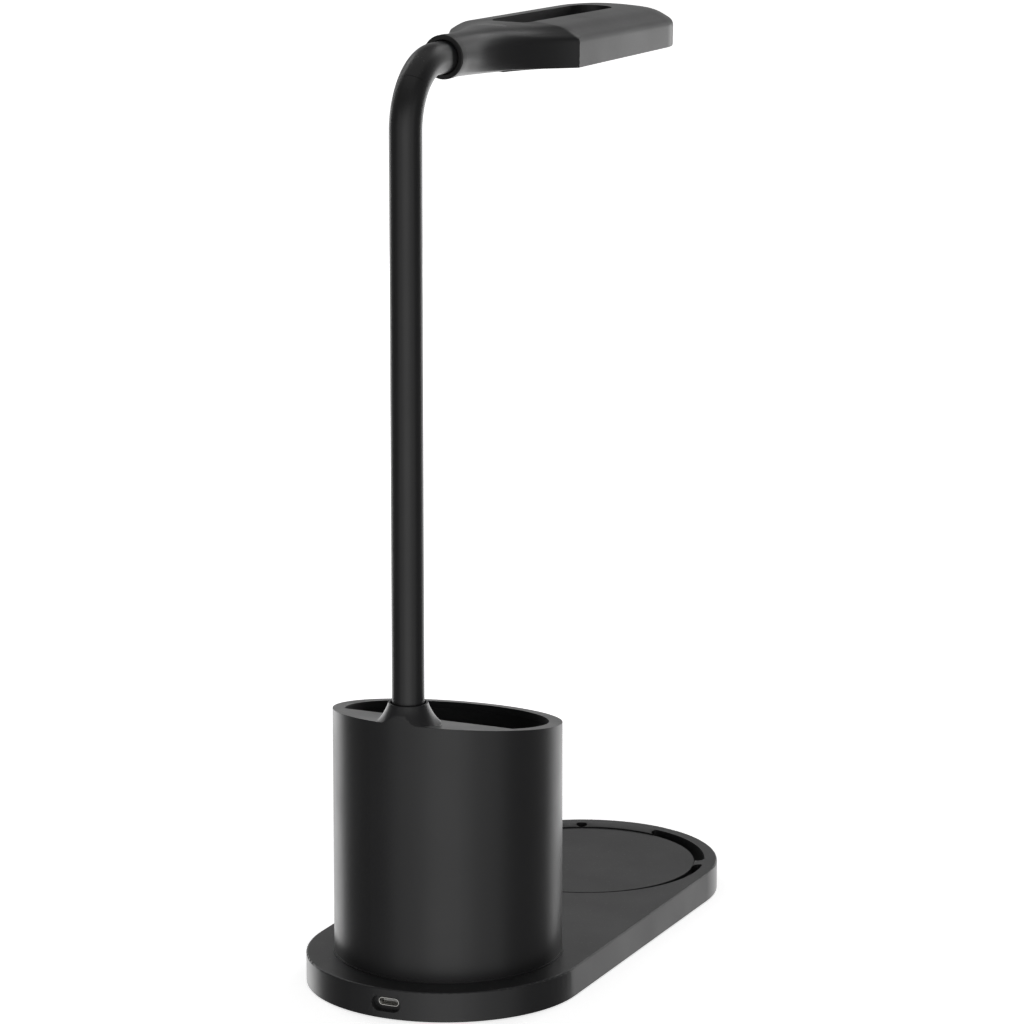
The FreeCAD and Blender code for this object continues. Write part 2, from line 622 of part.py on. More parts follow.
# ---------------------------------------------------------------- stem
def bend_frame(shape):
    """Place a shape, drawn along +X from the end of the bend, on the neck's axis."""
    placed = shape.copy()
    placed.rotate(Vector(0, 0, 0), ACROSS, HEAD_TILT)
    placed.translate(stem_point(BEND_ANGLE))
    return placed


def stem_point(angle):
    """Point of the stem's centre line, at an angle round the bend."""
    turn = math.radians(angle)
    offset = Vector(-BEND_RADIUS * math.cos(turn), 0, BEND_RADIUS * math.sin(turn))
    return BEND_CENTRE + offset


def stem_direction(angle):
    turn = math.radians(angle)
    return Vector(math.sin(turn), 0, math.cos(turn))


def stem_solid(radius, bottom, neck_end):
    """Whole stem as one bent rod, from a height up to a distance along the neck."""
    upright = rod(radius, STEM_X, 0, bottom, BEND_Z)
    circle = Part.makeCircle(radius, stem_point(0), UP)
    face = Part.Face(Part.Wire(circle))
    elbow = face.revolve(BEND_CENTRE, ACROSS, BEND_ANGLE)
    neck = bend_frame(lying_rod(radius, 0, neck_end))
    return upright.fuse(elbow).fuse(neck).removeSplitter()


def beyond(point, direction):
    """Half space on the far side of a plane across the stem."""
    block = Part.makeBox(2 * REACH, 2 * REACH, REACH, Vector(-REACH, -REACH, 0))
    turn = FreeCAD.Rotation(UP, direction)
    block.Placement = FreeCAD.Placement(point, turn)
    return block


def flex_points():
    """Centres and directions of the four flexing points, from the foot up."""
    lean = Vector(STEM_X, 0, BOOT_TOP + LEAN_RISE)
    sway = lean + Vector(0, 0, SWAY_RISE)
    upper = [(stem_point(a), stem_direction(a)) for a in (NECK_ANGLE_LOW, NECK_ANGLE_HIGH)]
    return [(lean, UP), (sway, UP)] + upper


def stem_lengths(whole):
    """Cut a stem at its flexing points into lengths that meet in ball-shaped faces."""
    points = flex_points()
    lengths = []
    for index in range(len(points) + 1):
        piece = whole
        if index > 0:
            centre, direction = points[index - 1]
            ball = Part.makeSphere(BALL_RADIUS - BALL_GAP, centre)
            piece = whole.common(beyond(centre, direction)).fuse(whole.common(ball))
        if index < len(points):
            centre, direction = points[index]
            piece = piece.cut(beyond(centre, direction))
            piece = piece.cut(Part.makeSphere(BALL_RADIUS, centre))
        lengths.append(piece.removeSplitter())
    return lengths


def sleeve_lengths():
    """Soft skin of the gooseneck."""
    outer = stem_solid(SLEEVE_RADIUS, FLANGE_TOP, SLEEVE_END)
    inner = stem_solid(SLEEVE_BORE, FLANGE_TOP, SLEEVE_END)
    return stem_lengths(outer.cut(inner))


def core_lengths():
    """Wound steel core of the gooseneck."""
    outer = stem_solid(CORE_RADIUS, FERRULE_BOTTOM, NECK_FERRULE_END)
    inner = stem_solid(CORE_BORE, FERRULE_BOTTOM, NECK_FERRULE_END)
    return stem_lengths(outer.cut(inner))


def lead_lengths():
    """Lead from the inlet board to the lamp head, inside the core."""
    return stem_lengths(stem_solid(LEAD_RADIUS, INLET_BOARD_TOP, NECK_FERRULE_END))


def foot_ferrule():
    """Threaded fitting on the core's lower end, with the flange that the sleeve stands on."""
    body = rod(THREAD_RADIUS, STEM_X, 0, FERRULE_BOTTOM, FLANGE_BOTTOM)
    flange = rod(BOOT_MOUTH - FLANGE_GAP, STEM_X, 0, FLANGE_BOTTOM, FLANGE_TOP)
    bore = rod(CORE_RADIUS + CRIMP_GAP, STEM_X, 0, FERRULE_BOTTOM, FLANGE_TOP)
    return body.fuse(flange).cut(bore)


def foot_washer():
    return tube(WASHER_RADIUS, THREAD_RADIUS + CRIMP_GAP, STEM_X, 0, WASHER_BOTTOM, BOSS_BOTTOM)


def foot_nut():
    nut = hexagon(NUT_FLATS, NUT_THICK)
    nut.translate(Vector(STEM_X, 0, WASHER_BOTTOM - NUT_THICK))
    bore = rod(THREAD_RADIUS + CRIMP_GAP, STEM_X, 0, WASHER_BOTTOM - NUT_THICK, WASHER_BOTTOM)
    return nut.cut(bore)


# ---------------------------------------------------------------- lamp head, drawn along +X
def shoulder_width(u):
    """Half width of the head's flaring shoulder at a distance along the neck."""
    run = max(u - FLARE_START, 0.0)
    return FLARE_CENTRE_V - math.sqrt(FLARE_RADIUS ** 2 - run ** 2)


def shoulder_corner(inset):
    """Distance along the neck at which the shoulder meets the straight side."""
    radius = FLARE_RADIUS + inset
    drop = FLARE_CENTRE_V - (HEAD_HALF_WIDTH - inset)
    return FLARE_START + math.sqrt(radius ** 2 - drop ** 2)


def sloped(height, u):
    """Height of an upper face of the head, given at the shoulder corner, at a distance."""
    return height + HEAD_SLOPE * (u - shoulder_corner(0))


def ceiling(u):
    """Height of the flat ceiling inside the head."""
    return sloped(BEVEL_TOP, u) - ROOF_WALL


def spade_wire(inset, start):
    """Plan outline of the head from a given distance on, moved inwards."""
    radius = FLARE_RADIUS + inset
    width = HEAD_HALF_WIDTH - inset
    corner = max(HEAD_CORNER - inset, 1.0)
    shoulder = shoulder_corner(inset)
    end = HEAD_END - inset
    centre_v = FLARE_CENTRE_V

    def flare(u):
        return Vector(u, centre_v - math.sqrt(radius ** 2 - (u - FLARE_START) ** 2), 0)

    def mirrored(point):
        return Vector(point.x, -point.y, 0)

    first = flare(start)
    middle = flare((start + shoulder) / 2)
    last = Vector(shoulder, width, 0)
    side = Vector(end - corner, width, 0)
    reach = corner * math.sqrt(0.5)
    bulge = Vector(end - corner + reach, width - corner + reach, 0)
    tip = Vector(end, width - corner, 0)
    edges = [Part.Arc(first, middle, last).toShape(), Part.LineSegment(last, side).toShape()]
    edges.append(Part.Arc(side, bulge, tip).toShape())
    edges.append(Part.LineSegment(tip, mirrored(tip)).toShape())
    edges.append(Part.Arc(mirrored(tip), mirrored(bulge), mirrored(side)).toShape())
    edges.append(Part.LineSegment(mirrored(side), mirrored(last)).toShape())
    edges.append(Part.Arc(mirrored(last), mirrored(middle), mirrored(first)).toShape())
    edges.append(Part.LineSegment(mirrored(first), first).toShape())
    return Part.Wire(edges)


def on_plane(wire, height_at_zero, slope):
    """A plan wire lifted onto a plane that slopes along X."""
    lift = Matrix()
    lift.A31 = slope
    lift.A34 = height_at_zero
    return wire.transformGeometry(lift)


def sloped_wire(inset, start, height):
    """Head's outline, moved inwards, at the height of an upper face."""
    return on_plane(spade_wire(inset, start), sloped(height, 0), HEAD_SLOPE)


def cambered_block():
    """Head's body: upright sides, a bevel and a gentle camber up to the crown."""
    start = shoulder_corner(0) - BEVEL / 2
    wires = [on_plane(spade_wire(0, start), HEAD_BOTTOM, 0), sloped_wire(0, start, SIDE_TOP)]
    wires += [sloped_wire(BEVEL, start, BEVEL_TOP), sloped_wire(CAMBER, start, CROWN)]
    return Part.makeLoft(wires, True, True)


def head_cavity():
    """Hollow of the head, open below, under a flat ceiling."""
    foot = on_plane(spade_wire(HEAD_WALL, CAVITY_START), HEAD_BOTTOM - 1, 0)
    side = sloped_wire(HEAD_WALL, CAVITY_START, SIDE_TOP)
    top = on_plane(spade_wire(HEAD_WALL + BEVEL, CAVITY_START), ceiling(0), HEAD_SLOPE)
    return Part.makeLoft([foot, side, top], True, True)


def shoulder_blend(u):
    """Share of the way from the round neck to the bevelled box, eased at both ends."""
    share = min(max((u - COLLAR_END) / (shoulder_corner(0) - COLLAR_END), 0.0), 1.0)
    return share * share * (3 - 2 * share)


def shoulder_top(u):
    return NECK_RADIUS + (CROWN - NECK_RADIUS) * shoulder_blend(u)


def shoulder_section(u):
    """Closed cross-section of the neck and shoulder."""
    blend = shoulder_blend(u)
    top_height = shoulder_top(u)
    bottom_height = NECK_RADIUS + (-HEAD_BOTTOM - NECK_RADIUS) * blend
    top_power = 2 / (2 + TOP_SQUARENESS * blend)
    bottom_power = 2 / (2 + BOTTOM_SQUARENESS * blend)
    points = []
    for step in range(SECTION_STEPS):
        turn = 2 * math.pi * (step + 0.5) / SECTION_STEPS
        rise = math.sin(turn)
        spread = math.cos(turn)
        power = top_power if rise > 0 else bottom_power
        height = top_height if rise > 0 else bottom_height
        y = math.copysign(abs(spread) ** power, spread) * shoulder_width(u)
        z = math.copysign(abs(rise) ** power, rise) * height
        points.append(Vector(u, y, z))
    return Part.makePolygon(points + points[:1])


def shoulder_block():
    """Neck and shoulders as straight-sided slices between cross-sections."""
    length = shoulder_corner(0) - COLLAR_END
    places = [COLLAR_END + length * step / SHOULDER_STEPS for step in range(SHOULDER_STEPS + 1)]
    return Part.makeLoft([shoulder_section(u) for u in places], True, True)


def window_prism(grow):
    """Slot through the head, grown outwards."""
    radius = WINDOW_WIDTH / 2
    middle = WINDOW_START + WINDOW_LENGTH / 2
    return stadium(WINDOW_LENGTH / 2 - radius, radius + grow, HEAD_BOTTOM - 1, 2 * CROWN, middle)


def touch_prism(grow, bottom, top):
    radius = TOUCH_WIDTH / 2
    side = TOUCH_LENGTH / 2 - radius
    body = Part.makeBox(2 * (radius + grow), 2 * side, top - bottom,
                        Vector(TOUCH_CENTRE - radius - grow, -side, bottom))
    for y in (-side, side):
        body = body.fuse(rod(radius + grow, TOUCH_CENTRE, y, bottom, top))
    return body.removeSplitter()


def touch_seat():
    """Height of the touch key's seat under the shoulder's top."""
    return shoulder_top(TOUCH_CENTRE) - TOUCH_THICK


def head_screw_places():
    """Two screws in the shoulder and two in the head's end."""
    near = shoulder_width(HEAD_POST_NEAR) - HEAD_POST_NEAR_INSET
    places = ((HEAD_POST_NEAR, near), (HEAD_END - HEAD_POST_END_INSET, HEAD_POST_END_SIDE))
    return [(u, side * v) for u, v in places for side in (-1, 1)]


def head_outer():
    return cambered_block().fuse(shoulder_block())


def head_top_shell():
    """Upper moulding of the lamp head: neck, shoulders, sides, roof and slot wall."""
    outer = head_outer()
    shell = outer.cut(head_cavity())
    shell = shell.cut(lying_rod(NECK_CAVITY, NECK_WALL_END, CAVITY_START + 1))
    shell = shell.cut(lying_rod(THREAD_RADIUS + THREAD_GAP, COLLAR_END, NECK_WALL_END))
    additions = [window_prism(WINDOW_WALL).common(outer)]
    for u, v in head_screw_places():
        additions.append(rod(HEAD_POST_RADIUS, u, v, FRAME_TOP, ceiling(u) + ROOF_WALL / 2).common(outer))
    for addition in additions:
        shell = shell.fuse(addition)
    shell = shell.cut(window_prism(0))
    for u, v in head_screw_places():
        shell = shell.cut(rod(SMALL_SCREW_RADIUS + SCREW_GAP, u, v, FRAME_TOP, FRAME_TOP + SMALL_SCREW_GRIP))
    return shell.cut(touch_prism(TOUCH_GAP, touch_seat(), 2 * CROWN))


def spade_plate(inset, start, bottom, top):
    """Flat plate that follows the head's outline."""
    outline = on_plane(spade_wire(inset, start), bottom, 0)
    return Part.Face(outline).extrude(Vector(0, 0, top - bottom))


def diffuser_plate(inset, bottom, top):
    """Outline of the diffuser's opening in the frame, moved inwards."""
    start = HEAD_POST_NEAR + DIFFUSER_CLEAR + inset
    end = HEAD_END - HEAD_POST_END_INSET - DIFFUSER_CLEAR - inset
    plate = spade_plate(HEAD_WALL + DIFFUSER_BORDER + inset, start, bottom, top)
    return plate.common(slab(FRAME_START, end, HEAD_HALF_WIDTH, bottom, top))


def head_frame():
    """Lower moulding of the head: border round the diffuser, with a rim for the LED board."""
    inset = HEAD_WALL + FRAME_GAP
    frame = spade_plate(inset, FRAME_START, HEAD_BOTTOM, LED_BOARD_BOTTOM)
    hollow = spade_plate(inset + FRAME_RIM, FRAME_START + FRAME_RIM, FRAME_TOP, LED_BOARD_BOTTOM)
    opening = diffuser_plate(0, HEAD_BOTTOM, FRAME_TOP)
    frame = frame.cut(hollow).cut(opening)
    for u, v in head_screw_places():
        frame = frame.cut(rod(SMALL_SCREW_RADIUS + FRAME_GAP, u, v, HEAD_BOTTOM, FRAME_TOP))
        head_top = HEAD_BOTTOM + SMALL_SCREW_HEAD + SEAT_GAP
        frame = frame.cut(rod(SMALL_SCREW_HEAD_RADIUS + FRAME_GAP, u, v, HEAD_BOTTOM, head_top))
    return frame


def light_diffuser():
    """Milky window round the slot, with a lip that lies on the frame."""
    pane = diffuser_plate(DIFFUSER_GAP, HEAD_BOTTOM + DIFFUSER_INSET, FRAME_TOP)
    lip = diffuser_plate(DIFFUSER_GAP - DIFFUSER_LIP, FRAME_TOP, FRAME_TOP + DIFFUSER_LIP)
    return pane.fuse(lip).cut(window_prism(WINDOW_WALL + DIFFUSER_GAP)).removeSplitter()


def led_board():
    """Aluminium board that lies on the frame's rim."""
    board = spade_plate(HEAD_WALL + FRAME_GAP, FRAME_START, LED_BOARD_BOTTOM, LED_BOARD_TOP)
    board = board.cut(window_prism(WINDOW_WALL + FRAME_GAP))
    for u, v in head_screw_places():
        board = board.cut(rod(HEAD_POST_RADIUS + FRAME_GAP, u, v, LED_BOARD_BOTTOM, LED_BOARD_TOP))
    return board


def led_chips():
    chips = []
    for side in (-1, 1):
        for step in range(LED_COUNT):
            low_u = LED_FIRST + step * LED_PITCH - LED_LENGTH / 2
            low = Vector(low_u, side * LED_ROW - LED_WIDTH / 2, LED_BOARD_BOTTOM - LED_THICK)
            chips.append(Part.makeBox(LED_LENGTH, LED_WIDTH, LED_THICK, low))
    return Part.makeCompound(chips)


def head_screws():
    screws = []
    head_bottom = HEAD_BOTTOM + SEAT_GAP
    head_top = head_bottom + SMALL_SCREW_HEAD
    for u, v in head_screw_places():
        head = rod(SMALL_SCREW_HEAD_RADIUS, u, v, head_bottom, head_top)
        shank = rod(SMALL_SCREW_RADIUS, u, v, head_top, FRAME_TOP + SMALL_SCREW_GRIP - SEAT_GAP)
        screws.append(fuse_all([head, shank]))
    return Part.makeCompound(screws)


def touch_key():
    """Touch-sensitive mark let into the roof; it doesn't move."""
    seat = touch_seat()
    return touch_prism(0, seat, 2 * CROWN).common(head_outer())


def touch_board():
    """Sensor board under the roof, below the touch key."""
    half = TOUCH_BOARD_SIDE / 2
    top = ceiling(TOUCH_CENTRE + half)
    return slab(TOUCH_CENTRE - half, TOUCH_CENTRE + half, half / 2, top - TOUCH_BOARD_THICK, top)


def collar_ring():
    """Ring that hides the sleeve's end where it enters the head."""
    ring = lying_rod(COLLAR_RADIUS, COLLAR_START, COLLAR_END)
    ring = ring.cut(lying_rod(SLEEVE_RADIUS + SLEEVE_GAP, COLLAR_START, SLEEVE_END))
    return ring.cut(lying_rod(THREAD_RADIUS + THREAD_GAP, SLEEVE_END, COLLAR_END))


def neck_ferrule():
    body = lying_rod(THREAD_RADIUS, SLEEVE_END, NECK_FERRULE_END)
    return body.cut(lying_rod(CORE_RADIUS + CRIMP_GAP, SLEEVE_END, NECK_FERRULE_END))


def neck_nut():
    nut = hexagon(NECK_NUT_FLATS, NECK_NUT_THICK)
    nut = nut.cut(rod(THREAD_RADIUS + CRIMP_GAP, 0, 0, 0, NECK_NUT_THICK))
    nut.rotate(Vector(0, 0, 0), ACROSS, 90)
    nut.translate(Vector(NECK_WALL_END, 0, 0))
    return nut


def head_lead():
    """Lead from the core's end down to the LED board."""
    start = Vector(NECK_FERRULE_END + SEAT_GAP, 0, 0)
    end = Vector(FRAME_START + FRAME_RIM + HEAD_POST_RADIUS, 0, LED_BOARD_TOP + LEAD_RADIUS)
    run = end - start
    return Part.makeCylinder(LEAD_RADIUS, run.Length, start, run)


# ---------------------------------------------------------------- build
os.makedirs("parts", exist_ok=True)

STANDING_PIECES = {
    "base_housing": base_housing, "base_cover": base_cover, "rubber_feet": rubber_feet,
    "cover_screws": cover_screws, "ballast_plate": ballast_plate, "pad_disc": pad_disc,
    "charging_coil": charging_coil, "ferrite_disc": ferrite_disc, "charger_board": charger_board,
    "charger_chips": charger_chips, "inlet_board": inlet_board, "socket_shell": socket_shell,
    "socket_tongue": socket_tongue, "pad_lead": pad_lead, "pen_cup_shell": pen_cup_shell,
    "pen_cup_liner": pen_cup_liner, "cup_screws": cup_screws, "foot_ferrule": foot_ferrule,
    "foot_washer": foot_washer, "foot_nut": foot_nut,
}
HEAD_PIECES = {
    "collar_ring": collar_ring, "neck_ferrule": neck_ferrule, "neck_nut": neck_nut,
    "head_top_shell": head_top_shell, "head_frame": head_frame, "light_diffuser": light_diffuser,
    "led_board": led_board, "led_chips": led_chips, "head_screws": head_screws,
    "touch_key": touch_key, "touch_board": touch_board, "head_lead": head_lead,
}
STEM_PIECES = {"sleeve": sleeve_lengths, "core": core_lengths, "lead": lead_lengths}
STEM_NAMES = ("foot", "lower", "upper", "neck", "end")

for name, make in STANDING_PIECES.items():
    save(name, make())
for name, make in HEAD_PIECES.items():
    save(name, bend_frame(make()))
for kind, make in STEM_PIECES.items():
    for name, length in zip(STEM_NAMES, make()):
        save(kind + "_" + name, length)
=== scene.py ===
"""Desk lamp with a gooseneck stem, a pen cup and a round charging pad on one long base.

Metres, +Z up, in the CAD's frame: +X runs from the pen cup to the charging pad.
"""
import json
import math

import bmesh
import bpy
from mathutils import Matrix, Vector


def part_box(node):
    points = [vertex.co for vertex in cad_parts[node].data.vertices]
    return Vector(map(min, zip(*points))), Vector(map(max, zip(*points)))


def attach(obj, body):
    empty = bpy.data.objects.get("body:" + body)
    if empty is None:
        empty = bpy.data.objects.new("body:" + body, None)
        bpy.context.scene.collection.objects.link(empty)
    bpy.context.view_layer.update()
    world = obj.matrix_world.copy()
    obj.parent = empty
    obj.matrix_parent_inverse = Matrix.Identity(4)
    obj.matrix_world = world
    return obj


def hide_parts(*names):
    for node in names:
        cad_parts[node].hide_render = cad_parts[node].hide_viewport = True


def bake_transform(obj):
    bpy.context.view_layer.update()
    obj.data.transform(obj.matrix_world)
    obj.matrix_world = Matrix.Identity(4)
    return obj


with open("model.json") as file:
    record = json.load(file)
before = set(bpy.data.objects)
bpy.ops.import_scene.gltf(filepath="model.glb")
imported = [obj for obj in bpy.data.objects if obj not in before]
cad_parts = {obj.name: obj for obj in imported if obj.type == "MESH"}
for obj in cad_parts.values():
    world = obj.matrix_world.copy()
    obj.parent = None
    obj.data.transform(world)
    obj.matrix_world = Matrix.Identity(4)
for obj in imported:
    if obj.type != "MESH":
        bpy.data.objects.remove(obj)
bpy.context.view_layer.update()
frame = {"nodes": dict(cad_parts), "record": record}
MM = 0.001


# ---------------------------------------------------------------- base housing
# One injection moulding in satin black ABS: roof, skirt, the seat of the charging pad
# with its slotted, bevelled ring, and the plug recess in its end. It stands upside down in the
# mould, so every edge has a small radius. The cover is screwed to it from below.
HOUSING_EDGE = 0.25 * MM
HOUSING_BLACK = (0.0135, 0.0135, 0.0142, 1)
HOUSING_ROUGHNESS = 0.36
SPARK_GRAIN = 2600                    # grain's noise scale, per metre
SPARK_DEPTH = 0.25                    # share of the grain's full height
SPARK_HEIGHT = 0.05 * MM
MOTTLE_GRAIN = 34
MOTTLE_FROM, MOTTLE_TO = 0.3, 0.7
MOTTLE_SHIFT = 0.035                  # change of roughness, either way
DUST_GRAIN = 900
DUST_FROM, DUST_TO = 0.66, 0.74
DUST_LEVEL = 0.5                      # it settles where the normal points up more than this
DUST_GREY = (0.12, 0.12, 0.115, 1)
DUST_AMOUNT = 0.5


def open_group(name, kind, inputs, outputs):
    """Empty node group with named inputs and outputs: the group, its input and its output node."""
    group = bpy.data.node_groups.new(name, kind)
    for side, sockets in (("INPUT", inputs), ("OUTPUT", outputs)):
        for label, sort in sockets.items():
            group.interface.new_socket(label, in_out=side, socket_type="NodeSocket" + sort)
    return group, group.nodes.new("NodeGroupInput"), group.nodes.new("NodeGroupOutput")


def add_node(nodes, kind, **values):
    """New node with some of its inputs set; an underscore stands for a space in their names."""
    node = nodes.new(kind)
    for label, value in values.items():
        node.inputs[label.replace("_", " ")].default_value = value
    return node


def combine(nodes, link, operation, first, second):
    """Output of a new math node on two outputs."""
    step = nodes.new("ShaderNodeMath")
    step.operation = operation
    link(first, step.inputs[0])
    link(second, step.inputs[1])
    return step.outputs["Value"]


def grain_group():
    """Spark-eroded mould texture: fine grain, slow mottling and a little settled dust."""
    inputs = {"Colour": "Color", "Roughness": "Float", "Grain": "Float", "Dust": "Float"}
    outputs = {"Colour": "Color", "Roughness": "Float", "Height": "Float"}
    group, given, result = open_group("moulded_grain", "ShaderNodeTree", inputs, outputs)
    nodes, link = group.nodes, group.links.new
    place = nodes.new("ShaderNodeTexCoord").outputs["Object"]

    grain = add_node(nodes, "ShaderNodeTexNoise", Detail=3)
    link(place, grain.inputs["Vector"])
    link(given.outputs["Grain"], grain.inputs["Scale"])
    link(grain.outputs["Fac"], result.inputs["Height"])

    mottle = add_node(nodes, "ShaderNodeTexNoise", Scale=MOTTLE_GRAIN, Detail=5)
    link(place, mottle.inputs["Vector"])
    shift = add_node(nodes, "ShaderNodeMapRange", From_Min=MOTTLE_FROM, From_Max=MOTTLE_TO,
                     To_Min=-MOTTLE_SHIFT, To_Max=MOTTLE_SHIFT)
    link(mottle.outputs["Fac"], shift.inputs["Value"])
    rough = combine(nodes, link, "ADD", given.outputs["Roughness"], shift.outputs["Result"])
    link(rough, result.inputs["Roughness"])

    facing = nodes.new("ShaderNodeNewGeometry")
    split = nodes.new("ShaderNodeSeparateXYZ")
    link(facing.outputs["Normal"], split.inputs["Vector"])
    specks = add_node(nodes, "ShaderNodeTexNoise", Scale=DUST_GRAIN, Detail=2)
    link(place, specks.inputs["Vector"])
    lone = add_node(nodes, "ShaderNodeMapRange", From_Min=DUST_FROM, From_Max=DUST_TO)
    link(specks.outputs["Fac"], lone.inputs["Value"])
    level = add_node(nodes, "ShaderNodeMapRange", From_Min=DUST_LEVEL, From_Max=1.0)
    link(split.outputs["Z"], level.inputs["Value"])
    settled = combine(nodes, link, "MULTIPLY", lone.outputs["Result"], level.outputs["Result"])
    dusty = nodes.new("ShaderNodeMix")
    dusty.data_type = "RGBA"
    dusty.inputs["B"].default_value = DUST_GREY
    link(combine(nodes, link, "MULTIPLY", settled, given.outputs["Dust"]), dusty.inputs["Factor"])
    link(given.outputs["Colour"], dusty.inputs["A"])
    link(dusty.outputs["Result"], result.inputs["Colour"])
    return group


MOULDED_GRAIN = grain_group()


def new_material(name):
    """Material with its shader, its nodes and its way to link them."""
    material = bpy.data.materials.new(name)
    material.use_nodes = True
    nodes = material.node_tree.nodes
    return material, nodes["Principled BSDF"], nodes, material.node_tree.links.new


def moulded_plastic(name, colour, roughness, grain=SPARK_GRAIN, depth=SPARK_DEPTH, dust=DUST_AMOUNT):
    """Material of a moulded piece with a spark-eroded texture."""
    material, shader, nodes, link = new_material(name)
    texture = nodes.new("ShaderNodeGroup")
    texture.node_tree = MOULDED_GRAIN
    texture.inputs["Colour"].default_value = colour
    texture.inputs["Roughness"].default_value = roughness
    texture.inputs["Grain"].default_value = grain
    texture.inputs["Dust"].default_value = dust
    bump = add_node(nodes, "ShaderNodeBump", Strength=depth, Distance=SPARK_HEIGHT)
    link(texture.outputs["Colour"], shader.inputs["Base Color"])
    link(texture.outputs["Roughness"], shader.inputs["Roughness"])
    link(texture.outputs["Height"], bump.inputs["Height"])
    link(bump.outputs["Normal"], shader.inputs["Normal"])
    return material


def body_of_node(node):
    """CAD body that a node belongs to."""
    bodies = frame["record"]["behaviour"]["bodies"]
    return next(body for body, nodes in bodies.items() if node in nodes)


def put_in_place(piece, material, nodes):
    """Give a finished piece its material and body, in place of the CAD's nodes."""
    piece.data.materials.clear()
    piece.data.materials.append(material)
    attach(piece, body_of_node(nodes[0]))
    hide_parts(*nodes)


MERGE_REACH = 0.001 * MM              # a CAD mesh's corners that lie this near are one
FLAT_BEND = math.radians(0.05)        # its triangles that bend less are one face
CREASE = 32                           # degrees that an edge bends at least to be rounded
EDGE_SEGMENTS = 2
FINE_SHARE = 0.62                     # width of a fine edge, as a share of the others


def softened_copy(node, name, edge, crease=CREASE, fine_below=None):
    """Copy of a node with its sharp edges rounded, and with finer ones below a height."""
    piece = frame["nodes"][node].copy()
    piece.data = piece.data.copy()
    piece.name = piece.data.name = name
    piece.parent = None
    piece.matrix_world = Matrix.Identity(4)
    bpy.context.scene.collection.objects.link(piece)
    shape = bmesh.new()
    shape.from_mesh(piece.data)
    bmesh.ops.remove_doubles(shape, verts=shape.verts, dist=MERGE_REACH)
    bmesh.ops.dissolve_limit(shape, angle_limit=FLAT_BEND, verts=shape.verts, edges=shape.edges)
    if fine_below is not None:
        weights = shape.edges.layers.float.new("bevel_weight_edge")
        for line in shape.edges:
            bent = len(line.link_faces) == 2 and line.calc_face_angle() > math.radians(crease)
            low = max(vert.co.z for vert in line.verts) < fine_below
            line[weights] = (FINE_SHARE if low else 1.0) if bent else 0.0
    shape.to_mesh(piece.data)
    shape.free()
    round_edges(piece, edge, crease, "ANGLE" if fine_below is None else "WEIGHT")
    return piece


def round_edges(piece, edge, crease=CREASE, pick="ANGLE"):
    """Round a mesh's creases and let the flat faces lead the shading."""
    piece.data.shade_smooth()
    bevel = piece.modifiers.new("edge", "BEVEL")
    bevel.width = edge
    bevel.segments = EDGE_SEGMENTS
    bevel.limit_method = pick
    bevel.angle_limit = math.radians(crease)
    bevel.miter_outer = "MITER_ARC"
    bevel.use_clamp_overlap = True
    weigh = piece.modifiers.new("shading", "WEIGHTED_NORMAL")
    weigh.keep_sharp = True
    weigh.weight = 100
    settle(piece)


def settle(piece):
    """Turn a piece's modifiers into its own mesh."""
    seen = piece.evaluated_get(bpy.context.evaluated_depsgraph_get())
    mesh = bpy.data.meshes.new_from_object(seen)
    piece.modifiers.clear()
    piece.data = mesh
    mesh.name = piece.name


housing_plastic = moulded_plastic("housing_plastic", HOUSING_BLACK, HOUSING_ROUGHNESS)
housing = softened_copy("base_housing", "housing", HOUSING_EDGE)
put_in_place(housing, housing_plastic, ["base_housing"])


# ---------------------------------------------------------------- underside cover
# A flat plate moulded in matte black, sunk into the housing's skirt, with round seats for
# the feet and counterbored places for its screws.
COVER_BLACK = (0.012, 0.012, 0.0125, 1)
COVER_EDGE = 0.12 * MM
cover_plastic = moulded_plastic("cover_plastic", COVER_BLACK, roughness=0.55)
cover = softened_copy("base_cover", "cover", COVER_EDGE)
put_in_place(cover, cover_plastic, ["base_cover"])


# ---------------------------------------------------------------- rubber feet
# Four moulded rubber discs, glued into round seats in the cover, with a rounded lower edge
# and a dull, coarse face that grips the desk.
FOOT_RUBBER = (0.016, 0.016, 0.0155, 1)
FOOT_EDGE = 0.25 * MM
foot_rubber = moulded_plastic("foot_rubber", FOOT_RUBBER, roughness=0.72, grain=1500, depth=0.4)
feet = softened_copy("rubber_feet", "feet", FOOT_EDGE)
put_in_place(feet, foot_rubber, ["rubber_feet"])


# ---------------------------------------------------------------- screws
# Zinc-plated pan-head screws with a cross recess, driven into moulded posts: under the
# cover, up into the posts of the cup and its bucket, and under the lamp head.
ZINC = (0.6, 0.6, 0.61, 1)
MARK_GRAIN = 700
MARK_GLOSS, MARK_WEAR = 0.08, 0.12    # change of roughness, down and up


def metal(name, colour, roughness):
    """Plated or turned metal with faint handling marks."""
    material, shader, nodes, link = new_material(name)
    shader.inputs["Metallic"].default_value = 1
    shader.inputs["Base Color"].default_value = colour
    place = nodes.new("ShaderNodeTexCoord")
    marks = add_node(nodes, "ShaderNodeTexNoise", Scale=MARK_GRAIN, Detail=4)
    wear = add_node(nodes, "ShaderNodeMapRange",
                    To_Min=roughness - MARK_GLOSS, To_Max=roughness + MARK_WEAR)
    link(place.outputs["Object"], marks.inputs["Vector"])
    link(marks.outputs["Fac"], wear.inputs["Value"])
    link(wear.outputs["Result"], shader.inputs["Roughness"])
    return material


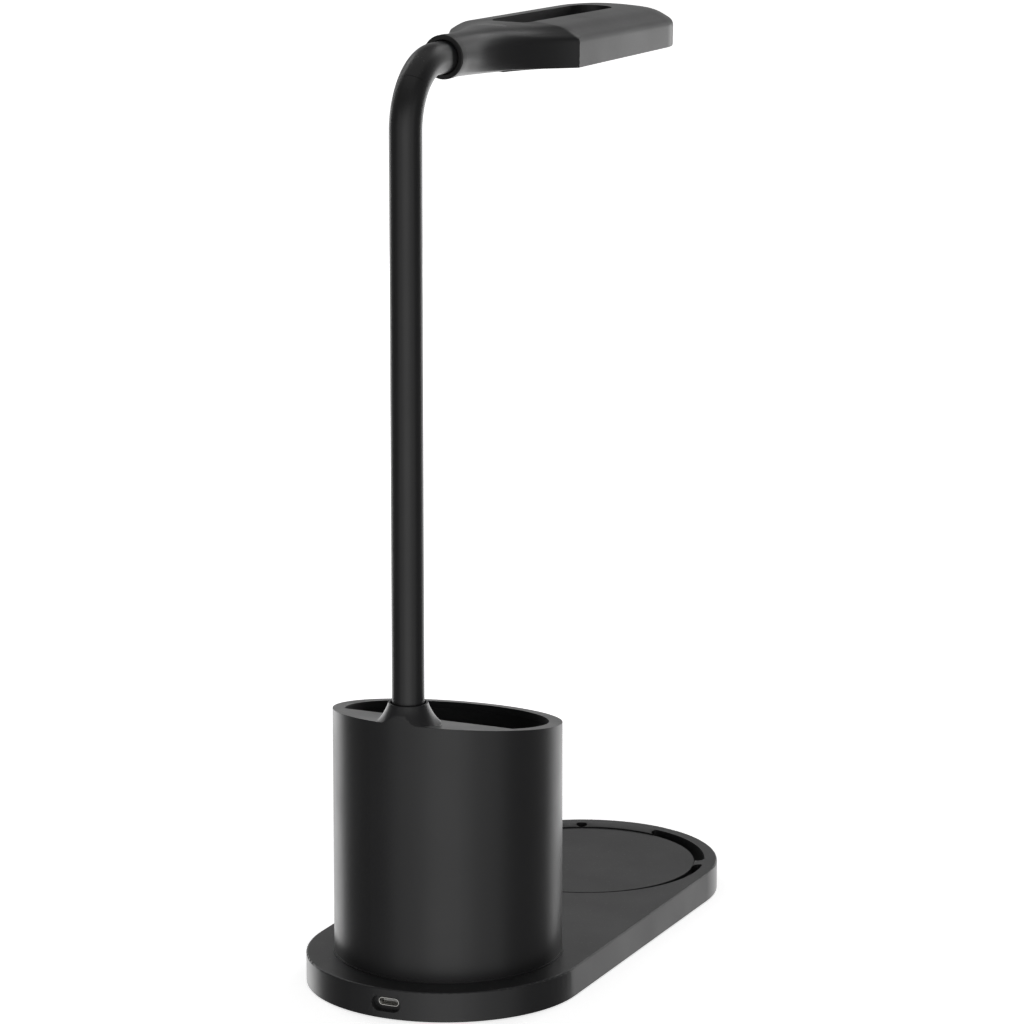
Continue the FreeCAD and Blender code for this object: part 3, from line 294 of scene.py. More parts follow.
def solid_boxes(node):
    """Lowest and highest corner of each separate solid of a CAD node."""
    shape = bmesh.new()
    shape.from_mesh(frame["nodes"][node].data)
    bmesh.ops.remove_doubles(shape, verts=shape.verts, dist=MERGE_REACH)
    left, boxes = set(shape.verts), []
    while left:
        reached = [left.pop()]
        for vert in reached:
            for edge in vert.link_edges:
                other = edge.other_vert(vert)
                if other in left:
                    left.remove(other)
                    reached.append(other)
        lows = [min(v.co[axis] for v in reached) for axis in range(3)]
        highs = [max(v.co[axis] for v in reached) for axis in range(3)]
        boxes.append((Vector(lows), Vector(highs)))
    shape.free()
    return sorted(boxes, key=lambda box: (round(box[0].x, 4), box[0].y))


def circle(radius, steps, u=0.0, v=0.0):
    """Points of a circle round a centre."""
    angles = [2 * math.pi * n / steps for n in range(steps)]
    return [(u + radius * math.cos(a), v + radius * math.sin(a)) for a in angles]


def finished_mesh(name, shape):
    """Mesh of a shape, which is then let go."""
    mesh = bpy.data.meshes.new(name)
    shape.to_mesh(mesh)
    shape.free()
    return mesh


ROUND_STEPS = 48


def lathe_mesh(name, profile):
    """Closed mesh of revolution about Z from (radius, height) pairs; ends lie on the axis."""
    shape = bmesh.new()
    rows = []
    for radius, height in profile:
        steps = ROUND_STEPS if radius else 1
        rows.append([shape.verts.new((x, y, height)) for x, y in circle(radius, steps)])
    for low, high in zip(rows, rows[1:]):
        for turn in range(ROUND_STEPS):
            after = (turn + 1) % ROUND_STEPS
            corners = [low[turn % len(low)], low[after % len(low)]]
            corners += [high[after % len(high)], high[turn % len(high)]]
            unique = list(dict.fromkeys(corners))
            if len(unique) > 2:
                shape.faces.new(unique)
    bmesh.ops.recalc_face_normals(shape, faces=shape.faces)
    return finished_mesh(name, shape)


def cut(piece, cutter, operation="DIFFERENCE"):
    """Take one closed piece from another, or keep what both share, and drop the tool."""
    tool = piece.modifiers.new(operation.lower(), "BOOLEAN")
    tool.operation = operation
    tool.solver = "EXACT"
    tool.object = cutter
    settle(piece)
    bpy.data.objects.remove(cutter)


def add_object(name, data):
    """Object in the scene that holds this mesh, or the camera's lens."""
    piece = bpy.data.objects.new(name, data)
    bpy.context.scene.collection.objects.link(piece)
    return piece


DOME = ((0, 0), (0.72, 0.02), (0.94, 0.3), (1, 0.6), (1, 1))    # shares of a head's radius and height
THREAD_PITCH = 0.9 * MM
THREAD_DEPTH = 0.16 * MM
THREAD_START = 0.4                    # plain neck under the head, in shank radii
RECESS_SHARE = 0.62                   # cross recess's reach, as a share of the head's radius
RECESS_BLADE = 0.2
RECESS_DEPTH = 0.62                   # share of the head's height
RECESS_TAPER = 0.5


def screw_pattern(head_radius, head_height, shank_radius, length):
    """One screw on the origin: head below, shank pointing up, with a cross in the head."""
    tip = head_height + length
    profile = [(across * head_radius, up * head_height) for across, up in DOME]
    profile.append((shank_radius, head_height))
    for turn in range(int((length - 2 * shank_radius) / THREAD_PITCH)):
        height = head_height + THREAD_START * shank_radius + turn * THREAD_PITCH
        profile.append((shank_radius - THREAD_DEPTH, height))
        profile.append((shank_radius, height + THREAD_PITCH / 2))
    profile += [(shank_radius - THREAD_DEPTH, tip - shank_radius), (0, tip)]
    screw = add_object("screw_pattern", lathe_mesh("screw_pattern", profile))
    reach = RECESS_SHARE * head_radius
    blade = RECESS_BLADE * head_radius
    for long_x, long_y in ((reach, blade), (blade, reach)):
        cross = bmesh.new()
        bmesh.ops.create_cube(cross, size=2)
        for vert in cross.verts:
            taper = 1.0 if vert.co.z < 0 else RECESS_TAPER
            x, y = vert.co.x * long_x * taper, vert.co.y * long_y * taper
            vert.co = (x, y, vert.co.z * RECESS_DEPTH * head_height)
        cut(screw, add_object("cross", finished_mesh("cross", cross)))
    return screw


def paint_result(tree, made, given, result):
    """End of a tree: make its copies real and give them its Finish."""
    nodes, link = tree.nodes, tree.links.new
    real = nodes.new("GeometryNodeRealizeInstances")
    link(made, real.inputs["Geometry"])
    paint = nodes.new("GeometryNodeSetMaterial")
    link(real.outputs["Geometry"], paint.inputs["Geometry"])
    link(given.outputs["Finish"], paint.inputs["Material"])
    link(paint.outputs["Geometry"], result.inputs["Result"])


def placing_tree(name, pattern):
    """Geometry Nodes tree that puts a pattern on each point of a mesh, turned by a named angle."""
    inputs = {"Places": "Geometry", "Pitch": "Float", "Seed": "Int", "Finish": "Material"}
    tree, given, result = open_group(name, "GeometryNodeTree", inputs, {"Result": "Geometry"})
    nodes, link = tree.nodes, tree.links.new
    source = nodes.new("GeometryNodeObjectInfo")
    source.inputs["Object"].default_value = pattern
    spin = nodes.new("FunctionNodeRandomValue")
    spin.data_type = "FLOAT_VECTOR"
    spin.inputs["Max"].default_value = (0, 0, math.pi / 2)
    link(given.outputs["Seed"], spin.inputs["Seed"])
    tilt = nodes.new("ShaderNodeCombineXYZ")
    link(given.outputs["Pitch"], tilt.inputs["Y"])
    put = nodes.new("GeometryNodeInstanceOnPoints")
    link(given.outputs["Places"], put.inputs["Points"])
    link(source.outputs["Geometry"], put.inputs["Instance"])
    link(tilt.outputs["Vector"], put.inputs["Rotation"])
    turn = nodes.new("GeometryNodeRotateInstances")
    link(put.outputs["Instances"], turn.inputs["Instances"])
    link(spin.outputs["Value"], turn.inputs["Rotation"])
    paint_result(tree, turn.outputs["Instances"], given, result)
    return tree


def grown(name, tree, points, lines, values):
    """Plain mesh of what a tree makes on these points and lines, with its inputs set."""
    mesh = bpy.data.meshes.new(name)
    mesh.from_pydata([tuple(point) for point in points], lines, [])
    piece = add_object(name, mesh)
    maker = piece.modifiers.new("maker", "NODES")
    maker.node_group = tree
    for socket in tree.interface.items_tree:
        if socket.in_out == "INPUT" and socket.name in values:
            maker[socket.identifier] = values[socket.name]
    settle(piece)
    return piece


def shade_by_angle(piece, degrees):
    """Smooth shading, except at edges that bend more than this."""
    piece.data.shade_smooth()
    piece.data.set_sharp_from_angle(angle=math.radians(degrees))


SCREW_CREASE = 35
zinc_plate = metal("zinc_plate", ZINC, roughness=0.3)


def screws(node, name, head_radius, head_height, shank_radius, length, pitch=0.0):
    """Screws of one length, at the places of a CAD node's screws, head down."""
    pattern = screw_pattern(head_radius, head_height, shank_radius, length)
    half = Matrix.Rotation(pitch, 4, "Y") @ Vector((0, 0, (head_height + length) / 2))
    points = [(low + high) / 2 - half for low, high in solid_boxes(node)]
    values = {"Pitch": pitch, "Seed": len(points), "Finish": zinc_plate}
    group = grown(name, placing_tree(name + "_places", pattern), points, [], values)
    bpy.data.objects.remove(pattern)
    shade_by_angle(group, SCREW_CREASE)
    put_in_place(group, zinc_plate, [node])


COVER_SCREW_HEAD = (2.75 * MM, 0.9 * MM)
CUP_SCREW_HEAD = (2.75 * MM, 2.0 * MM)
SCREW_SHANK = 1.45 * MM
cover_low, cover_high = solid_boxes("cover_screws")[0]
cover_length = cover_high.z - cover_low.z - COVER_SCREW_HEAD[1]
screws("cover_screws", "cover_screw_set", *COVER_SCREW_HEAD, SCREW_SHANK, cover_length)
cup_low, cup_high = solid_boxes("cup_screws")[0]
cup_length = cup_high.z - cup_low.z - CUP_SCREW_HEAD[1]
screws("cup_screws", "cup_screw_set", *CUP_SCREW_HEAD, SCREW_SHANK, cup_length)


# ---------------------------------------------------------------- ballast
# A sheared steel plate that lies on the cover, from under the cup to the middle of the base. It
# keeps the lamp upright when the head reaches far out.
BALLAST_STEEL = (0.3, 0.3, 0.31, 1)
BALLAST_EDGE = 0.3 * MM
ballast_steel = metal("ballast_steel", BALLAST_STEEL, roughness=0.45)
ballast = softened_copy("ballast_plate", "ballast", BALLAST_EDGE)
put_in_place(ballast, ballast_steel, ["ballast_plate"])


# ---------------------------------------------------------------- charging pad
# A close-fitting disc of fine-textured black plastic, seated on the ledge inside the ring.
# Its coil, ferrite sheet and board lie under it.
PAD_BLACK = (0.0125, 0.0125, 0.0132, 1)
PAD_EDGE = 0.25 * MM
pad_plastic = moulded_plastic("pad_plastic", PAD_BLACK, roughness=0.38)
pad = softened_copy("pad_disc", "pad", PAD_EDGE)
put_in_place(pad, pad_plastic, ["pad_disc"])

COPPER = (0.72, 0.32, 0.14, 1)
BOARD_GREEN = (0.01, 0.09, 0.035, 1)
FERRITE_GREY = (0.035, 0.035, 0.038, 1)
enamelled_copper = metal("enamelled_copper", COPPER, roughness=0.35)
ferrite_grey = moulded_plastic("ferrite_grey", FERRITE_GREY, roughness=0.6)
solder_mask = moulded_plastic("solder_mask", BOARD_GREEN, roughness=0.35, grain=3000, depth=0.1, dust=0)
chip_black = moulded_plastic("chip_black", COVER_BLACK, roughness=0.45, dust=0)


def finish_node(node, material):
    """Show a CAD node as it is, in its own material."""
    piece = frame["nodes"][node]
    piece.data.materials.clear()
    piece.data.materials.append(material)


finish_node("charging_coil", enamelled_copper)
finish_node("ferrite_disc", ferrite_grey)
for board in ("charger_board", "inlet_board", "touch_board"):
    finish_node(board, solder_mask)
finish_node("charger_chips", chip_black)


# ---------------------------------------------------------------- plug socket
# A USB-C receptacle: a drawn steel shell, nickel plated, round a pale grey tongue that
# carries the contacts. It sits at the back of the recess in the base's end.
NICKEL = (0.74, 0.73, 0.7, 1)
TONGUE_GREY = (0.47, 0.47, 0.46, 1)
SOCKET_EDGE = 0.06 * MM
TONGUE_EDGE = 0.05 * MM
nickel_plate = metal("nickel_plate", NICKEL, roughness=0.22)
tongue_plastic = moulded_plastic("tongue_plastic", TONGUE_GREY, roughness=0.4)
socket = softened_copy("socket_shell", "socket_shell_plated", SOCKET_EDGE)
put_in_place(socket, nickel_plate, ["socket_shell"])
tongue = softened_copy("socket_tongue", "socket_tongue_grey", TONGUE_EDGE)
put_in_place(tongue, tongue_plastic, ["socket_tongue"])


# ---------------------------------------------------------------- pen cup
# One moulding: the round cup with its slanted rim, the flat land behind the mouth and the
# waisted boot that the stem rises from. Its bucket is a second, D-shaped moulding.
CUP_EDGE = 0.5 * MM
CUP_CREASE = 40
BEAD_ZONE = 2 * MM                    # the thin bead round the foot has finer edges
cup_plastic = moulded_plastic("cup_plastic", HOUSING_BLACK, HOUSING_ROUGHNESS)
cup_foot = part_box("pen_cup_shell")[0][2]
cup = softened_copy("pen_cup_shell", "cup", CUP_EDGE, CUP_CREASE, fine_below=cup_foot + BEAD_ZONE)
put_in_place(cup, cup_plastic, ["pen_cup_shell"])

LINER_BLACK = (0.006, 0.006, 0.0063, 1)
LINER_EDGE = 0.25 * MM
liner_plastic = moulded_plastic("liner_plastic", LINER_BLACK, roughness=0.5)
liner = softened_copy("pen_cup_liner", "cup_bucket", LINER_EDGE)
put_in_place(liner, liner_plastic, ["pen_cup_liner"])


# ---------------------------------------------------------------- stem fittings
# Turned steel ferrules crimped on the ends of the gooseneck, each held by a nut inside the
# moulding that it passes through.
TURNED_STEEL = (0.56, 0.55, 0.53, 1)
FITTING_EDGE = 0.15 * MM
turned_steel = metal("turned_steel", TURNED_STEEL, roughness=0.28)
FITTINGS = {"foot_ferrule": ("foot_fitting", turned_steel), "neck_ferrule": ("neck_fitting", turned_steel),
            "foot_nut": ("foot_hex_nut", zinc_plate), "neck_nut": ("neck_hex_nut", zinc_plate),
            "foot_washer": ("foot_flat_washer", zinc_plate)}
for node, (name, finish) in FITTINGS.items():
    put_in_place(softened_copy(node, name, FITTING_EDGE), finish, [node])

LEAD_BLACK = (0.015, 0.015, 0.015, 1)
wound_steel = metal("wound_steel", BALLAST_STEEL, roughness=0.4)
lead_skin = moulded_plastic("lead_skin", LEAD_BLACK, roughness=0.5, dust=0)
for stretch in ("foot", "lower", "upper", "neck", "end"):
    finish_node("core_" + stretch, wound_steel)
    finish_node("lead_" + stretch, lead_skin)
for node in ("pad_lead", "head_lead"):
    finish_node(node, lead_skin)


# ---------------------------------------------------------------- gooseneck sleeve
# One soft silicone tube, drawn over the wound core, which bends with it. Here it is drawn in
# four stretches along the stem's centre line, each in place of the CAD's sleeve nodes.
SLEEVE_BLACK = (0.0105, 0.0105, 0.011, 1)
SLEEVE_RADIUS = 6.5 * MM
SLEEVE_SIDES = 64
CAP_CREASE = 40
SLEEVE_STEP = 1.5 * MM
BEND_STEP = 1.5                       # degrees
BEND_RADIUS = 25.1 * MM
BEND_START = 353.78 * MM              # height at which the straight stem turns over
SECOND_END = 270 * MM                 # height at which the second stretch of sleeve ends
THIRD_END = 44                        # degrees round the bend at which the third ends
HEAD_PITCH = math.radians(2.3)
NECK_SLEEVE = 10.7 * MM               # straight end that goes into the head
NECK_STEPS = 6
STEM_X = (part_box("foot_washer")[0][0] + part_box("foot_washer")[1][0]) / 2
SLEEVE_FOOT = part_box("sleeve_foot")[0][2]
joint_at = {joint["name"]: Vector(joint["pos_m"]) for joint in frame["record"]["behaviour"]["joints"]}
FIRST_END = (joint_at["stem_lean"].z + joint_at["stem_sway"].z) / 2
BEND_CENTRE = Vector((STEM_X + BEND_RADIUS, 0, BEND_START))
BEND_END = 90 + math.degrees(HEAD_PITCH)
NECK_DIRECTION = Vector((math.cos(HEAD_PITCH), 0, -math.sin(HEAD_PITCH)))


def bend_point(degrees):
    """Point of the stem's centre line, at an angle round the bend."""
    turn = math.radians(degrees)
    return BEND_CENTRE + BEND_RADIUS * Vector((-math.cos(turn), 0, math.sin(turn)))


def straight_run(low, high):
    """Points up the straight stem between two heights."""
    count = int((high - low) / SLEEVE_STEP)
    return [Vector((STEM_X, 0, low + (high - low) * n / count)) for n in range(count + 1)]


def bend_run(start, end):
    """Points round the bend between two angles."""
    count = int((end - start) / BEND_STEP)
    return [bend_point(start + (end - start) * n / count) for n in range(count + 1)]


def sleeve_tree():
    """Geometry Nodes tree that draws a round tube of a named radius along a line of edges."""
    inputs = {"Line": "Geometry", "Radius": "Float", "Sides": "Int", "Finish": "Material"}
    tree, given, result = open_group("sleeve_tube", "GeometryNodeTree", inputs, {"Result": "Geometry"})
    nodes, link = tree.nodes, tree.links.new
    line = nodes.new("GeometryNodeMeshToCurve")
    link(given.outputs["Line"], line.inputs["Mesh"])
    ring = nodes.new("GeometryNodeCurvePrimitiveCircle")
    link(given.outputs["Radius"], ring.inputs["Radius"])
    link(given.outputs["Sides"], ring.inputs["Resolution"])
    tube = nodes.new("GeometryNodeCurveToMesh")
    tube.inputs["Fill Caps"].default_value = True
    link(line.outputs["Curve"], tube.inputs["Curve"])
    link(ring.outputs["Curve"], tube.inputs["Profile Curve"])
    paint_result(tree, tube.outputs["Mesh"], given, result)
    return tree


silicone = moulded_plastic("silicone", SLEEVE_BLACK, roughness=0.35, grain=1800, depth=0.12, dust=1.0)
SLEEVE_TUBE = sleeve_tree()


def sleeve(name, line, nodes):
    """One stretch of the sleeve along a line of points, in place of the CAD's nodes."""
    edges = [(n, n + 1) for n in range(len(line) - 1)]
    values = {"Radius": SLEEVE_RADIUS, "Sides": SLEEVE_SIDES, "Finish": silicone}
    piece = grown(name, SLEEVE_TUBE, line, edges, values)
    shade_by_angle(piece, CAP_CREASE)
    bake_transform(piece)
    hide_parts(*nodes)


sleeve("sleeve_1", straight_run(SLEEVE_FOOT, FIRST_END), ["sleeve_foot"])
sleeve("sleeve_2", straight_run(FIRST_END, SECOND_END), ["sleeve_lower"])
over_the_top = straight_run(SECOND_END, BEND_START)[:-1] + bend_run(0, THIRD_END)
sleeve("sleeve_3", over_the_top, ["sleeve_upper"])
bend_end = bend_point(BEND_END)
neck_line = [bend_end + NECK_DIRECTION * NECK_SLEEVE * n / NECK_STEPS for n in range(1, NECK_STEPS + 1)]
sleeve("sleeve_4", bend_run(THIRD_END, BEND_END) + neck_line, ["sleeve_neck", "sleeve_end"])


# ---------------------------------------------------------------- collar
# A satin black moulded ring, pressed over the sleeve's end and up against the head's neck. It
# shows as a dark band before the head.
COLLAR_BLACK = (0.007, 0.007, 0.0073, 1)
COLLAR_EDGE = 0.5 * MM
collar_plastic = moulded_plastic("collar_plastic", COLLAR_BLACK, roughness=0.4)
collar = softened_copy("collar_ring", "collar", COLLAR_EDGE)
put_in_place(collar, collar_plastic, ["collar_ring"])


# ---------------------------------------------------------------- lamp head, upper shell
# Satin black moulding: a round neck that flares in concave shoulders to a long block with slanted
# sides, a cambered top and a slot right through it. It is hollow, and the frame closes it below.
# Its sizes are in millimetres: u runs along the neck's axis from the end of the bend, v across.
HEAD_BLACK = (0.0135, 0.0135, 0.0142, 1)
NECK_START = 12.5
NECK_RADIUS = 8.6
FLARE_START = 22.0
FLARE_RADIUS = 79.0
HEAD_HALF_WIDTH = 29.0
HEAD_END = 194.0
HEAD_CORNER = 28.0
HEAD_BOTTOM = -8.7
HEAD_SLOPE = -0.0136
SIDE_TOP = 3.2
BEVEL = 7.0
BEVEL_TOP = 7.5
CAMBER = 20.0
CROWN = 9.1
BEVEL_LIMIT = 0.6                     # most that a bevel takes of a narrow section's half width
CAMBER_LIMIT = 0.85
EDGE_ROUNDS = (0.5, 2.0, 4.0, 6.0)    # at the bottom edge, the side's top, the bevel's top, the crown
CIRCLE_POWER = 2                      # the section's power in the round neck
TOP_SQUARENESS = 1.1                  # and what it gains towards the block
BOTTOM_SQUARENESS = 10.0
BOX_START = 45.0
ROUND_LIMIT = 2.2                     # a round takes at most this part, 1 in 2.2, of a flat
EDGE_STEPS = 4
FLAT_STEPS = 5
SHOULDER_STEPS = 48
SIDE_STEPS = 16
CORNER_STEPS = 24
CAVITY_STEPS = 14
SHELL_WALL = 1.8
SHOULDER_WALL = 1.25 * SHELL_WALL
ROOF_DROP = 0.5                       # hollow's roof under the side's top edge
SLOT_START = 66.0
SLOT_LENGTH = 94.0
SLOT_WIDTH = 18.0
SLOT_WALL = 1.6
CAVITY_START = 43.8
NECK_BORE = 5.15
NECK_CAVITY = 7.2
NECK_WALL_END = 20.0
POST_RADIUS = 2.6
POST_FOOT = -6.9
POSTS = ((54.0, 8.5), (182.5, 9.0))
TOUCH_CENTRE = 53.0
TOUCH_LENGTH = 13.0
TOUCH_WIDTH = 6.5
TOUCH_THICK = 0.8
TOUCH_GAP = 0.1
ABOVE_HEAD = 20                       # height that every cutting tool reaches
CAVITY_BELOW, WALL_BELOW, SLOT_BELOW = 1, 3, 4        # how far each runs out below the head
BORE_PAST, NECK_CAVITY_PAST = 1, 0.5  # how far each runs on into its neighbour
HEAD_EDGE = 0.7 * MM
HEAD_CREASE = 38
TO_FRAME = Matrix.Rotation(HEAD_PITCH, 4, "Y") @ Matrix.Scale(MM, 4)
TO_FRAME.translation = bend_end


def shoulder_width(u):
    """Half width of the flaring shoulder."""
    run = max(u - FLARE_START, 0.0)
    return NECK_RADIUS + FLARE_RADIUS - math.sqrt(FLARE_RADIUS ** 2 - run ** 2)


def corner_place(inset=0.0):
    """Where the shoulder meets the straight side."""
    drop = NECK_RADIUS + FLARE_RADIUS - (HEAD_HALF_WIDTH - inset)
    return FLARE_START + math.sqrt((FLARE_RADIUS + inset) ** 2 - drop ** 2)


def eased(share):
    """Share from 0 to 1 that starts and ends gently."""
    share = min(max(share, 0.0), 1.0)
    return share * share * (3 - 2 * share)


def rounded(points, reaches):
    """Chain of points with its corners rounded and its flats divided into equal steps."""
    arcs = [[points[0]]]
    for before, corner, after, wanted in zip(points, points[1:], points[2:], reaches):
        back, ahead = before - corner, after - corner
        reach = min(wanted, back.length / ROUND_LIMIT, ahead.length / ROUND_LIMIT)
        first, last = corner + back.normalized() * reach, corner + ahead.normalized() * reach
        shares = [step / EDGE_STEPS for step in range(EDGE_STEPS + 1)]
        arcs.append([first * (1 - t) ** 2 + corner * 2 * t * (1 - t) + last * t * t for t in shares])
    arcs.append([points[-1]])
    chain = []
    for arc, following in zip(arcs, arcs[1:]):
        chain += arc + [arc[-1].lerp(following[0], step / FLAT_STEPS) for step in range(1, FLAT_STEPS)]
    return chain + arcs[-1]


def sloped(height, u):
    """Height of an upper face, which falls from the shoulder to the head's end."""
    return height + HEAD_SLOPE * max(u - corner_place(), 0)


def box_half(width, u):
    """Right half of the bevelled section, from the middle of the bottom to the crown."""
    bevel_side = width - min(BEVEL, BEVEL_LIMIT * width)
    crown_side = width - min(CAMBER, CAMBER_LIMIT * width)
    crown = sloped(CROWN, u)
    corners = [(0, HEAD_BOTTOM), (width, HEAD_BOTTOM), (width, sloped(SIDE_TOP, u))]
    corners += [(bevel_side, sloped(BEVEL_TOP, u)), (crown_side, crown), (0, crown)]
    return rounded([Vector((u, y, z)) for y, z in corners], EDGE_ROUNDS)


def head_half(u):
    """Right half of the section in the neck and shoulders: a circle that turns into the box."""
    share = eased((u - NECK_START) / (corner_place() - NECK_START))
    box_share = eased((u - BOX_START) / (corner_place() - BOX_START))
    width = shoulder_width(u)
    above = (NECK_RADIUS + (CROWN - NECK_RADIUS) * share, CIRCLE_POWER + TOP_SQUARENESS * share)
    below = (NECK_RADIUS - (HEAD_BOTTOM + NECK_RADIUS) * share, CIRCLE_POWER + BOTTOM_SQUARENESS * share)
    half = []
    for point in box_half(width, u):
        height, power = above if point.z > 0 else below
        reach = (abs(point.y / width) ** power + abs(point.z / height) ** power) ** (-1 / power)
        half.append(Vector((u, point.y * reach, point.z * reach)).lerp(point, box_share))
    return half


def side_line(inset):
    """Right half of the head's plan from the shoulder corner to the middle of its end."""
    width, end = HEAD_HALF_WIDTH - inset, HEAD_END - inset
    corner = HEAD_CORNER - inset
    start = corner_place()
    line = [(start + (end - corner - start) * n / SIDE_STEPS, width) for n in range(SIDE_STEPS)]
    for n in range(CORNER_STEPS + 1):
        turn = math.radians(90 * n / CORNER_STEPS)
        line.append((end - corner + corner * math.sin(turn), width - corner + corner * math.cos(turn)))
    return line + [(end, (width - corner) / 2), (end, 0.0)]


def mirrored(half):
    """The same points on the left, in the opposite order."""
    return [Vector((p.x, -p.y, p.z)) for p in reversed(half)]


def head_solid(name):
    """Outside of the head as one closed mesh."""
    shape = bmesh.new()
    run = corner_place() - NECK_START
    rings = []
    for n in range(SHOULDER_STEPS + 1):
        half = head_half(NECK_START + run * n / SHOULDER_STEPS)
        rings.append([shape.verts.new(p) for p in half + mirrored(half[1:-1])])
    count = len(rings[0])
    for near, far in zip(rings, rings[1:]):
        for n in range(count):
            after = (n + 1) % count
            shape.faces.new((near[n], near[after], far[after], far[n]))
    shape.faces.new(list(reversed(rings[0])))
    last = rings[-1]
    base = box_half(HEAD_HALF_WIDTH, corner_place())
    lowest, highest = FLAT_STEPS, len(base) - 1 - FLAT_STEPS
    rows = []
    for k in range(lowest, highest + 1):
        line = side_line(HEAD_HALF_WIDTH - base[k].y)
        right = [Vector((u, v, box_half(HEAD_HALF_WIDTH, u)[k].z)) for u, v in line]
        row = [shape.verts.new(p) for p in right[1:] + mirrored(right[1:-1])]
        rows.append([last[k]] + row + [last[count - k]])
    for low, high in zip(rows, rows[1:]):
        for n in range(len(low) - 1):
            shape.faces.new((low[n], low[n + 1], high[n + 1], high[n]))
    shape.faces.new(rows[0] + last[count - lowest + 1:] + last[:lowest])
    shape.faces.new(rows[-1] + list(reversed(last[highest + 1:count - highest])))
    bmesh.ops.recalc_face_normals(shape, faces=shape.faces)
    shape.transform(TO_FRAME)
    return add_object(name, finished_mesh(name, shape))


def prism(name, outline, bottom, top=None):
    """Closed prism on a plan outline, up to a function of the place or else above the head."""
    shape = bmesh.new()
    low = [shape.verts.new((u, v, bottom)) for u, v in outline]
    high = [shape.verts.new((u, v, top(u) if top else ABOVE_HEAD)) for u, v in outline]
    shape.faces.new(list(reversed(low)))
    shape.faces.new(high)
    for n in range(len(outline)):
        after = (n + 1) % len(outline)
        shape.faces.new((low[n], low[after], high[after], high[n]))
    bmesh.ops.recalc_face_normals(shape, faces=shape.faces)
    shape.transform(TO_FRAME)
    return add_object(name, finished_mesh(name, shape))


def stadium(length, width, grow):
    """Outline with two round ends, grown outwards, round the origin."""
    radius, half = width / 2 + grow, (length - width) / 2
    points = []
    for end, first in ((1, -90), (-1, 90)):
        for n in range(CORNER_STEPS + 1):
            turn = math.radians(first + 180 * n / CORNER_STEPS)
            points.append((end * half + radius * math.cos(turn), radius * math.sin(turn)))
    return points


def slot_outline(grow=0.0):
    """Plan of the slot that goes right through, which lies along the head."""
    centre = SLOT_START + SLOT_LENGTH / 2
    return [(centre + u, v) for u, v in stadium(SLOT_LENGTH, SLOT_WIDTH, grow)]


def touch_outline(grow=0.0):
    """Plan of the touch key, which lies across the head."""
    return [(TOUCH_CENTRE - v, u) for u, v in stadium(TOUCH_LENGTH, TOUCH_WIDTH, grow)]


def cavity():
    """Hollow of the head above its frame, as a solid to be cut away."""
    run = corner_place() - CAVITY_START
    flare = [CAVITY_START + run * n / CAVITY_STEPS for n in range(CAVITY_STEPS)]
    right = [(u, shoulder_width(u) - SHOULDER_WALL) for u in flare] + side_line(SHELL_WALL)
    outline = right + [(u, -v) for u, v in reversed(right[:-1])]
    body = prism("cavity", outline, HEAD_BOTTOM - CAVITY_BELOW, lambda u: sloped(SIDE_TOP, u) - ROOF_DROP)
    cut(body, prism("slot_wall", slot_outline(SLOT_WALL), HEAD_BOTTOM - WALL_BELOW))
    for u, v in POSTS:
        for side in (-1, 1):
            cut(body, prism("post", circle(POST_RADIUS, CORNER_STEPS, u, side * v), POST_FOOT))
    return body


def axis_rod(name, radius, start, end):
    """Cylinder along the neck's axis."""
    shape = bmesh.new()
    bmesh.ops.create_cone(shape, cap_ends=True, segments=ROUND_STEPS,
                          radius1=radius, radius2=radius, depth=end - start)
    shape.transform(Matrix.Translation(((start + end) / 2, 0, 0)) @ Matrix.Rotation(math.pi / 2, 4, "Y"))
    shape.transform(TO_FRAME)
    return add_object(name, finished_mesh(name, shape))


head_plastic = moulded_plastic("head_plastic", HEAD_BLACK, HOUSING_ROUGHNESS)
head_shell = head_solid("head_shell")
touch_seat = head_half(TOUCH_CENTRE)[-1].z - TOUCH_THICK
touch = head_solid("touch_mark")
cut(touch, prism("touch_limit", touch_outline(), touch_seat), "INTERSECT")
cut(head_shell, cavity())
cut(head_shell, axis_rod("neck_bore", NECK_BORE, NECK_START - BORE_PAST, NECK_WALL_END + BORE_PAST))
cut(head_shell, axis_rod("neck_cavity", NECK_CAVITY, NECK_WALL_END, CAVITY_START + NECK_CAVITY_PAST))
cut(head_shell, prism("slot", slot_outline(), HEAD_BOTTOM - SLOT_BELOW))
cut(head_shell, prism("touch_seat", touch_outline(TOUCH_GAP), touch_seat))
round_edges(head_shell, HEAD_EDGE, HEAD_CREASE)
put_in_place(head_shell, head_plastic, ["head_top_shell"])


# ---------------------------------------------------------------- touch key
# A smooth touch-sensitive plate, flush in the shoulder's top, which switches the lamp. It is
# glued over its sensor and doesn't move.
KEY_BLACK = (0.02, 0.02, 0.021, 1)
KEY_EDGE = 0.12 * MM
key_plastic = moulded_plastic("key_plastic", KEY_BLACK, roughness=0.3, depth=0.05)
round_edges(touch, KEY_EDGE, HEAD_CREASE)
put_in_place(touch, key_plastic, ["touch_key"])


